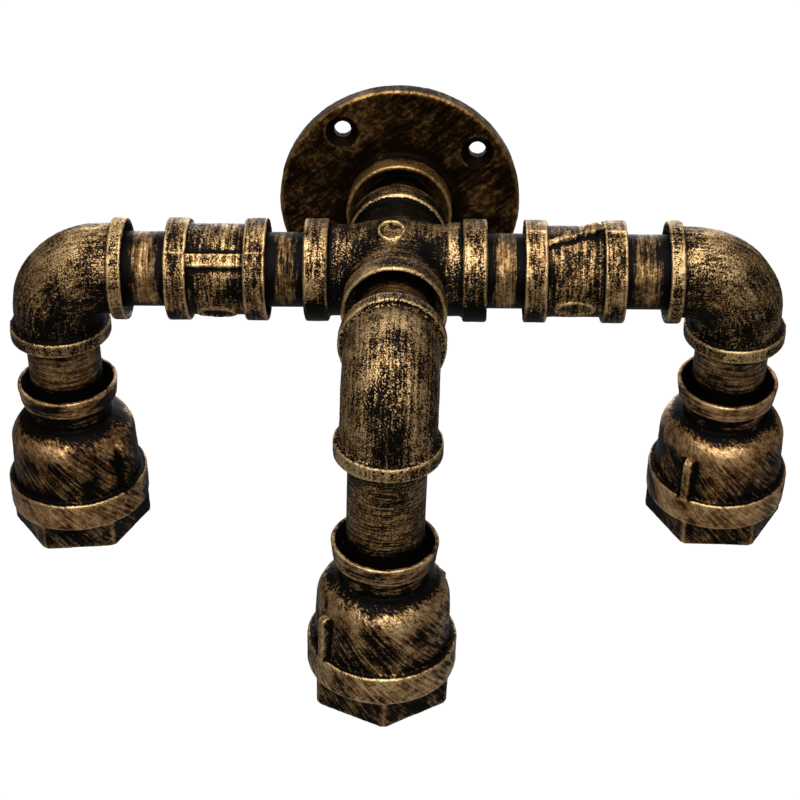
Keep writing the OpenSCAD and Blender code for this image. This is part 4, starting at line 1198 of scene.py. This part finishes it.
class PIPELIGHT_OT_couplings(PieceOperator, bpy.types.Operator):
    """Build the two banded couplings with their flat ribs and parting lines"""

    bl_idname = "pipe_light.couplings"
    bl_label = "Couplings"

    def execute(self, context):
        sizes, finish = self.settings(context)
        seam_size, seam_aside, bead_height, rib_detail = 0.00055, 0.13, 0.0011, 0.30
        rim_worn, top_worn, seam_worn, bead_worn, band_worn = 0.5, 0.22, 0.9, 0.5, 0.16
        painted_rib_shadow, bead_reach = 0.6, 0.15
        band, body = sizes.band_radius, sizes.body_radius
        total, wide = sizes.coupling_length, sizes.coupling_band
        profile = outline(banded_corners(sizes, total, wide), sizes.mesh_step, sizes.hidden_step)
        material = brushed_finish("Cast coupling", finish)
        for number, side in enumerate(("left", "right")):
            ribs = opposite_pair(-getattr(sizes, f"{side}_rib_turn"), rib_detail)

            def lift(radius, along, turn, edge, reach):
                between = smooth_step(along, wide - 0.001, wide + 0.0004)
                between = between * (1 - smooth_step(along, total - wide - 0.0004, total - wide + 0.001))
                outer = on_face(radius, body)
                part = (along - wide) / (total - 2 * wide)
                for rib, _ in ribs:
                    lie, face, width = rib, body + sizes.coupling_rib_height, sizes.coupling_rib_width
                    if side == "right" and rib == ribs[0][0]:
                        lie, face, width = self.rough_flash(sizes, part, rib, face)
                    raised, rim, top, rib_shadows = flat_rib(radius, turn, lie, face, width, between * outer)
                    seam = hump(radius * np.sin(away_from(turn, rib - seam_aside)), seam_size)
                    seam = seam * (np.cos(away_from(turn, rib)) > 0) * outer * (1 - between)
                    radius = raised + seam_size * seam
                    edge = np.clip(edge + rim_worn * rim + top_worn * top + seam_worn * seam, 0, 1)
                    # Painted shadow in strips beside the rib
                    reach = reach - painted_rib_shadow * rib_shadows
                oval = getattr(sizes, f"{side}_oval_turn")
                bead = self.bead(radius, along, turn, sizes, oval) * between * outer
                edge = np.clip(edge + bead_worn * bead + band_worn * on_face(radius, band), 0, 1)
                return radius + bead_height * bead, edge, reach + bead_reach * bead

            node = f"{side}_coupling"
            steps = angle_steps(band, sizes.mesh_step, ribs)
            mesh = turned_mesh(node + "_body", profile, steps, pipe_walls(sizes, total), lift=lift)
            mesh = cast_skin(mesh, sizes, material, 3 + number)
            matrix = framed(middle(node) - Vector((total / 2, 0, 0)), RIGHT, OUT)
            set_piece(node + "_casting", mesh, matrix, "fixture", node)
        return {"FINISHED"}

    @staticmethod
    def rough_flash(sizes, part, rib, face):
        """Turn, face and width of the rough flash that slants along a rib and widens."""
        onward = np.clip(part, 0, 1)
        lie = rib - sizes.flash_turn - sizes.flash_slant * (onward - 0.5)
        width = (0.0020 + 0.0028 * onward) * (1 + 0.45 * ragged(0.45 * part))
        return lie, face - 0.0003 + 0.0012 * onward + 0.0007 * ragged(0.4 * part + 0.4), width

    @staticmethod
    def bead(radius, along, turn, sizes, at):
        """Strength of the plain oval bead low on a coupling's front."""
        bead_round = 0.0005
        aside = radius * away_from(turn, -at) / sizes.bead_width
        ahead = (along - sizes.coupling_length / 2) / sizes.bead_length
        return hump((np.hypot(aside, ahead) - 1) * sizes.bead_width, bead_round)


class PIPELIGHT_OT_elbows(PieceOperator, bpy.types.Operator):
    """Build the three elbows that turn the arms down"""

    bl_idname = "pipe_light.elbows"
    bl_label = "Elbows"

    def execute(self, context):
        sizes, finish = self.settings(context)
        seam_width, seam_height, seam_detail, seam_worn, band_worn = 0.00045, 0.00028, 0.08, 0.3, 0.14
        bend, far, band, body = sizes.elbow_bend, sizes.elbow_reach, sizes.band_radius, sizes.body_radius
        run = far - bend
        total = 2 * run + bend * math.pi / 2
        deep = sizes.thread_engage + 0.0005
        inside = [
            (sizes.bore_radius, total - deep, 0, "hidden"), (sizes.pipe_bore, total - deep, 0, "hidden"),
            (sizes.pipe_bore, deep, 0, "hidden"), (sizes.bore_radius, deep, 0, "hidden")]
        corners = banded_corners(sizes, total, sizes.elbow_band, inside)
        profile = outline(corners, sizes.mesh_step, sizes.hidden_step)
        steps = angle_steps(band, sizes.mesh_step, [(0.0, seam_detail)])

        def place(radius, turn, along):
            swing = np.clip((along - run) / bend, 0, math.pi / 2)
            out = np.clip(far - along, bend, None)
            down = np.clip(along - (total - run), 0, None)
            sine, cosine = np.sin(swing), np.cos(swing)
            x_place = out - bend * sine - sine * radius * np.cos(turn)
            z_place = -bend + bend * cosine - down + cosine * radius * np.cos(turn)
            return np.stack([x_place, radius * np.sin(turn), z_place], axis=-1)

        for number, side in enumerate(SIDES):
            wear = ELBOW_WEAR_AND_LIGHT[side]

            # More bronze on the crown of the upper part is wear and painted highlight; less on the inner
            # side, the lower part and the front elbow's lower middle is missed bronze and painted shade
            def lift(radius, along, turn, edge, reach):
                part, sine, cosine = along / total, np.sin(turn), np.cos(turn)
                outer, band_face = on_face(radius, body), on_face(radius, band)
                seam = hump(radius * sine, seam_width) * outer * (cosine > 0)
                crown = smooth_step(cosine, -0.1, 0.7)
                upper = 1 - smooth_step(part, 0.35, 0.75)
                lower = smooth_step(part, 0.35, 0.80) * (1 - 0.4 * band_face)
                half_down = smooth_step(part, 0.35, 0.60) * (cosine > 0) * (1 - band_face)
                flank = hump(np.abs(sine) - 0.6, 0.2) * half_down
                edge = edge + wear["crown_wear_and_highlight"] * crown * upper * outer + wear["flank_wear_and_middle_shade"] * flank
                edge = np.clip(edge + seam_worn * seam + band_worn * band_face, 0, 1)
                reach = reach - wear["inner_missed_and_shade"] * (1 - crown) * (1 - band_face)
                reach = reach - 0.6 * wear["flank_wear_and_middle_shade"] * hump(sine, 0.32) * half_down
                return radius + seam_height * seam, edge, reach - wear["lower_missed_and_shade"] * lower

            mesh = turned_mesh(f"{side}_elbow_body", profile, steps, pipe_walls(sizes, total), place, lift)
            material = brushed_finish("Grainy elbow" if side == "front" else "Streaked elbow", finish)
            mesh = cast_skin(mesh, sizes, material, 5 + number)
            matrix = elbow_frame(side)
            set_piece(f"{side}_elbow_casting", mesh, matrix, f"{side}_arm", f"{side}_elbow")
        return {"FINISHED"}


class PIPELIGHT_OT_bells(PieceOperator, bpy.types.Operator):
    """Build the three bells with collar, shoulder, upright ribs and foot band"""

    bl_idname = "pipe_light.bells"
    bl_label = "Bells"

    def execute(self, context):
        sizes, finish = self.settings(context)
        rib_detail, shoulder_wear_and_highlight, rim_worn, top_worn = 0.11, 0.55, 0.55, 0.4
        neck_missed, mouth_missed, painted_rib_shadow, rib_reach = 0.30, 0.45, 0.7, 0.12
        mouth, neck_end, total = mouth_radius(sizes), sizes.neck_end, sizes.bell_height
        collar_low = sizes.collar_radius - sizes.collar_taper
        band_top = total - sizes.bell_band_height
        profile = outline(self.corners(sizes, collar_low, band_top), sizes.mesh_step, sizes.hidden_step)
        walls = pipe_walls(sizes, total)[:1]

        def strokes(radius, turn, along):
            around = straight(radius, turn, along)
            level = [along - 0.5 * neck_end, 0.15 * around[..., 0], around[..., 1]]
            return np.where((along < neck_end)[..., None], np.stack(level, axis=-1), around)

        for number, side in enumerate(SIDES):
            wear, longer = BELL_WEAR_AND_LIGHT[side], BELL_RIB_LONGER[side]
            ribs = opposite_pair(-getattr(sizes, f"{side}_bell_turn"), rib_detail)

            def lift(radius, along, turn, edge, reach):
                bare = hump(along - neck_end - 0.0004, 0.0024)
                # A band round the shoulder's crest takes more bronze: wear on the rounded edge and a painted
                # highlight
                worn_and_lit_shoulder = hump(along - neck_end - 0.50 * sizes.shoulder, 0.0036)
                foot_band = on_face(radius, sizes.bell_band_radius)
                collar = (along < sizes.bell_collar) & (radius > collar_low - 0.0003)
                edge = edge + shoulder_wear_and_highlight * worn_and_lit_shoulder + wear["band_worn"] * foot_band
                edge = np.clip(edge + wear["collar_worn"] * collar, 0, 1)
                in_mouth = smooth_step(mouth - radius, 0.0001, 0.0009) * (along < sizes.mouth_depth)
                # Less bronze on each bell by its own share, missed bronze and painted shade, and darker lower
                # on the side
                low_side = smooth_step(along, neck_end + 0.8 * sizes.shoulder, band_top - 0.004)
                missed_and_shade = wear["missed_and_shade"] + wear["lower_side_darkening"] * low_side
                reach = reach - neck_missed * bare - missed_and_shade * (1 - foot_band) - mouth_missed * in_mouth
                outer = smooth_step(radius, sizes.bell_bore + 0.0006, sizes.bell_top_radius - 0.0006)
                tip = band_top - sizes.bell_rib_length - longer
                strength = smooth_step(along, tip - 0.0004, tip + 0.0010 + longer)
                strength = strength * (1 - smooth_step(along, band_top + 0.0004, band_top + 0.0012)) * outer
                face = sizes.bell_foot_radius + sizes.bell_rib_height
                for rib, _ in ribs:
                    radius, rim, top, rib_shadows = flat_rib(radius, turn, rib, face, sizes.bell_rib_width, strength)
                    # How much each bell's rib face takes bronze: less where its face is in painted shade
                    edge = edge * (1 - (1 - wear["rib_wear_and_light"]) * top)
                    edge = np.clip(edge + wear["rib_wear_and_light"] * (rim_worn * rim + top_worn * top), 0, 1)
                    # The rib's face takes more bronze, and painted shadow lies in strips beside the rib
                    reach = reach + rib_reach * wear["rib_wear_and_light"] * top - painted_rib_shadow * rib_shadows
                return radius, edge, reach

            steps = angle_steps(sizes.bell_band_radius, sizes.mesh_step * 1.1, ribs)
            mesh = turned_mesh(f"{side}_bell_body", profile, steps, walls, straight, lift, strokes)
            material = brushed_finish("Crisp bell" if side == "front" else "Smooth bell", finish)
            mesh = cast_skin(mesh, sizes, material, 8 + number)
            matrix = lamp_frame(side, sizes)
            set_piece(f"{side}_bell_casting", mesh, matrix, f"{side}_arm", f"{side}_bell")
        return {"FINISHED"}

    @staticmethod
    def corners(sizes, collar_low, band_top):
        """Corners of a bell's profile, from its mouth down the outside and up the inside."""
        neck, foot, edge, total = sizes.neck_radius, sizes.band_foot, sizes.band_round, sizes.bell_height
        bore, throat, band, step = sizes.bell_bore, sizes.bell_throat, sizes.bell_band_radius, sizes.mesh_step
        centre = (sizes.bell_top_radius - sizes.shoulder, sizes.neck_end + sizes.shoulder)
        away = neck + foot - centre[0]
        up = math.sqrt((sizes.shoulder + foot) ** 2 - away ** 2)
        start = -math.atan2(up, away)
        groove = arc_points((neck + foot, centre[1] - up), foot, math.pi, math.pi + start, step)
        shoulder = arc_points(centre, sizes.shoulder, start, 0, step)
        throat_end = sizes.bell_socket + throat - sizes.bore_radius
        return [
            (mouth_radius(sizes), 0, LIP_ROUND), (sizes.collar_radius, 0, edge),
            (collar_low, sizes.bell_collar, edge), (neck, sizes.bell_collar, foot),
            *[(*point, 0) for point in groove + shoulder[1:]],
            (sizes.bell_foot_radius, band_top, foot), (band, band_top, edge), (band, total, edge),
            (bore, total, 0, "hidden"), (bore, sizes.bell_seat, 0, "hidden"),
            (throat, sizes.bell_seat, 0, "hidden"), (throat, throat_end, 0, "hidden"),
            (sizes.bore_radius, sizes.bell_socket, 0, "hidden"), (sizes.bore_radius, sizes.mouth_depth, 0)]


class PIPELIGHT_OT_bushes(PieceOperator, bpy.types.Operator):
    """Build the hexagon bushes under the bells"""

    bl_idname = "pipe_light.bushes"
    bl_label = "Hexagon bushes"

    def execute(self, context):
        sizes, finish = self.settings(context)
        sides, corner_detail, corner_width, corner_worn, edge_share = 6, 0.05, 0.03, 0.7, 0.6
        foot_round, opening_round, deepest_round = 0.0010, 0.0008, 0.001
        half_side = TURN / sides / 2
        top, corner_radius = sizes.bell_height, sizes.hex_corner
        foot = top + sizes.hex_height
        lip = foot - sizes.lip_height
        corners = [
            (sizes.bush_bore, top - sizes.bush_engage, 0, "hidden"),
            (sizes.bush_radius, top - sizes.bush_engage, 0, "hidden"), (sizes.bush_radius, top, 0),
            (corner_radius, top, EDGE_ROUND), (corner_radius, foot, foot_round),
            (sizes.lip_radius, foot, opening_round), (sizes.lip_radius, lip, LIP_ROUND),
            (sizes.bush_bore, lip, 0, "hidden")]
        profile = outline(corners, sizes.mesh_step, sizes.hidden_step)
        material = brushed_finish("Dark hexagon", finish)
        for number, side in enumerate(SIDES):
            at = -getattr(sizes, f"{side}_hex_turn")
            details = [((at + k * TURN / sides) % TURN, corner_detail) for k in range(sides)]

            def lift(radius, along, turn, edge, reach):
                off = (turn - at) % (TURN / sides) - half_side
                flat = sizes.hex_flat / np.cos(off) - np.clip(corner_radius - radius, 0, deepest_round)
                on_hex = along > top - 0.0002
                corner = hump(np.abs(off) - half_side, corner_width) * (radius > sizes.hex_flat) * on_hex
                edge = np.clip(edge_share * edge + corner_worn * corner, 0, 1)
                return np.where(on_hex, np.minimum(radius, flat), radius), edge, reach

            steps = angle_steps(corner_radius, sizes.mesh_step * 2, details)
            mesh = turned_mesh(f"{side}_bush_body", profile, steps, lift=lift)
            mesh = cast_skin(mesh, sizes, material, 11 + number)
            matrix = lamp_frame(side, sizes)
            set_piece(f"{side}_bush_casting", mesh, matrix, f"{side}_arm", f"{side}_hex_bush")
        return {"FINISHED"}


class PIPELIGHT_OT_sockets(PieceOperator, bpy.types.Operator):
    """Build the rolled screw shells and finish the lamp holders round them"""

    bl_idname = "pipe_light.sockets"
    bl_label = "Lamp sockets"

    def execute(self, context):
        sizes, finish = self.settings(context)
        sheet_step, round_step, wall_zone = 0.0003, 0.0009, 0.002
        outer, hole, level = sizes.shell_radius, sizes.shell_hole, sizes.shell_level
        inner, base = outer - sizes.shell_wall, level + sizes.shell_base
        end = level + sizes.shell_length
        first = level + 3 * sizes.shell_base
        corners = [(hole, level, 0), (outer, level, LIP_ROUND), (outer, end, 0),
                   (inner, end, 0), (inner, base, LIP_ROUND), (hole, base, 0)]
        profile = outline(corners, sheet_step, sheet_step)
        steps = angle_steps(outer, round_step)

        def lift(radius, along, turn, edge, reach):
            wave = 0.5 - 0.5 * np.cos(along / sizes.shell_pitch * TURN - turn)
            rolled = smooth_step(along, first, first + 0.0015)
            rolled = rolled * (1 - smooth_step(along, end - 0.0025, end - 0.001))
            return radius - sizes.shell_wave * wave * rolled * (radius > outer - wall_zone), edge, reach

        brass = plain_finish("Pressed brass", finish)
        smooth_skin = {"Grain size": sizes.grain_size, "Grain depth": 0.0, "Lump depth": 0.0, "Seed": 0.0}
        for side in SIDES:
            mesh = turned_mesh(f"{side}_shell_body", profile, steps, lift=lift)
            mesh = shaped(mesh, cast_skin_tree, "Cast skin", brass, smooth_skin)
            matrix = lamp_frame(side, sizes)
            set_piece(f"{side}_rolled_shell", mesh, matrix, f"{side}_arm", f"{side}_screw_shell")
            coat_node(f"{side}_lamp_holder", plain_finish("Glazed porcelain", finish))
            coat_node(f"{side}_centre_contact", brass)
            coat_node(f"{side}_terminal_screws", brass)
        return {"FINISHED"}


class PIPELIGHT_OT_wiring(PieceOperator, bpy.types.Operator):
    """Finish the terminal block and the cables inside the pipes"""

    bl_idname = "pipe_light.wiring"
    bl_label = "Wiring"

    def execute(self, context):
        finish = self.settings(context)[1]
        sheath = plain_finish("Cable sheath", finish)
        coat_node("terminal_block", plain_finish("Moulded block", finish))
        coat_node("terminal_block_screws", plain_finish("Pressed brass", finish))
        for side in SIDES:
            coat_node(f"{side}_feed_cable", sheath)
            coat_node(f"{side}_arm_cable", sheath)
        return {"FINISHED"}


class PIPELIGHT_OT_stage(PieceOperator, bpy.types.Operator):
    """Set up the pale floor, the soft studio light and the camera"""

    bl_idname = "pipe_light.stage"
    bl_label = "Stage"

    def execute(self, context):
        self.camera(context)
        self.floor(context, self.settings(context)[1])
        self.lights(context)
        self.surroundings(context)
        context.scene.view_settings.view_transform = "Standard"
        context.scene.view_settings.look = "None"
        return {"FINISHED"}

    @staticmethod
    def camera(context):
        """Camera in front of the light, a little to its right and looking down on it."""
        data = bpy.data.cameras.new("Camera")
        data.sensor_width = SENSOR_WIDTH
        data.lens = CAMERA_LENS
        camera = bpy.data.objects.new("Camera", data)
        ahead = (Vector(CAMERA_AIM) - Vector(CAMERA_PLACE)).normalized()
        right = ahead.cross(Vector((0, 0, 1))).normalized()
        up = right.cross(ahead)
        cosine, sine = math.cos(CAMERA_ROLL), math.sin(CAMERA_ROLL)
        axes = Matrix((right * cosine + up * sine, up * cosine - right * sine, -ahead))
        camera.matrix_world = Matrix.Translation(Vector(CAMERA_PLACE)) @ axes.transposed().to_4x4()
        context.scene.collection.objects.link(camera)
        context.scene.camera = camera

    @staticmethod
    def floor(context, finish):
        """Wide pale floor well below the light, white in view and soft grey in reflections."""
        half, level = FLOOR_HALF, CAD_BOX[0][2] - FLOOR_BELOW
        mesh = bpy.data.meshes.new("studio_floor")
        corners = [(-half, -half, level), (half, -half, level), (half, half, level), (-half, half, level)]
        mesh.from_pydata(corners, [], [(0, 1, 2, 3)])
        material, bench, shader = new_material("Studio floor")
        bench.feed(shader, {"Base Color": opaque(finish.floor), "Roughness": FLOOR_ROUGHNESS})
        glow = bench.signal("ShaderNodeEmission", {"Color": WHITE, "Strength": FLOOR_GLOW})
        seen = bench.signal("ShaderNodeLightPath", output="Is Camera Ray")
        mixed = bench.signal("ShaderNodeMixShader", {0: seen, 1: Signal(bench, shader.outputs[0]), 2: glow})
        bench.feed(material.node_tree.nodes["Material Output"], {"Surface": mixed})
        mesh.materials.append(material)
        floor = bpy.data.objects.new("studio_floor", mesh)
        context.scene.collection.objects.link(floor)

    @staticmethod
    def lights(context):
        """Large softbox overhead, one fill in front and one behind."""
        for name, (place, size, power) in LIGHTS.items():
            data = bpy.data.lights.new(name, "AREA")
            data.size = size
            data.energy = power
            lamp = bpy.data.objects.new(name, data)
            lamp.location = place
            lamp.rotation_euler = (Vector(LIGHT_AIM) - Vector(place)).to_track_quat("-Z", "Y").to_euler()
            context.scene.collection.objects.link(lamp)

    @staticmethod
    def surroundings(context):
        """Dim surroundings, a little brighter above, and white in view."""
        low_level, high_level, low_glow, high_glow = -0.3, 1.0, 0.03, 0.12
        world = context.scene.world or bpy.data.worlds.new("Studio")
        context.scene.world = world
        world.use_nodes = True
        bench = NodeBench(world.node_tree)
        height = bench.split(bench.signal("ShaderNodeTexCoord", output="Generated"))[2]
        glow = bench.ramp(height, low_level, high_level, low_glow, high_glow)
        seen = bench.signal("ShaderNodeLightPath", output="Is Camera Ray")
        backdrop = {"Color": WHITE, "Strength": bench.calc("MAXIMUM", glow, seen)}
        bench.feed(world.node_tree.nodes["Background"], backdrop)


OPERATORS = (
    PIPELIGHT_OT_stage, PIPELIGHT_OT_flange, PIPELIGHT_OT_nipples, PIPELIGHT_OT_cross, PIPELIGHT_OT_couplings,
    PIPELIGHT_OT_elbows, PIPELIGHT_OT_bells, PIPELIGHT_OT_bushes, PIPELIGHT_OT_sockets, PIPELIGHT_OT_wiring)


class PIPELIGHT_PT_panel(bpy.types.Panel):
    """Lists the steps that build the light"""

    bl_idname = "PIPELIGHT_PT_panel"
    bl_label = "Pipe wall light"
    bl_space_type = "VIEW_3D"
    bl_region_type = "UI"
    bl_category = "Pipe light"

    def draw(self, context):
        for step in OPERATORS:
            self.layout.operator(step.bl_idname)


CLASSES = (LightSizes, LightFinish, *OPERATORS, PIPELIGHT_PT_panel)


def register():
    """Registers the classes and the light's settings."""
    for cls in CLASSES:
        bpy.utils.register_class(cls)
    bpy.types.Scene.pipe_light_sizes = PointerProperty(type=LightSizes)
    bpy.types.Scene.pipe_light_finish = PointerProperty(type=LightFinish)


def unregister():
    """Removes the settings and the classes."""
    del bpy.types.Scene.pipe_light_finish
    del bpy.types.Scene.pipe_light_sizes
    for cls in reversed(CLASSES):
        bpy.utils.unregister_class(cls)


def main():
    """Builds the whole light."""
    register()
    bpy.ops.pipe_light.stage()
    bpy.ops.pipe_light.flange()
    bpy.ops.pipe_light.nipples()
    bpy.ops.pipe_light.cross()
    bpy.ops.pipe_light.couplings()
    bpy.ops.pipe_light.elbows()
    bpy.ops.pipe_light.bells()
    bpy.ops.pipe_light.bushes()
    bpy.ops.pipe_light.sockets()
    bpy.ops.pipe_light.wiring()


if __name__ == "__main__":
    main()
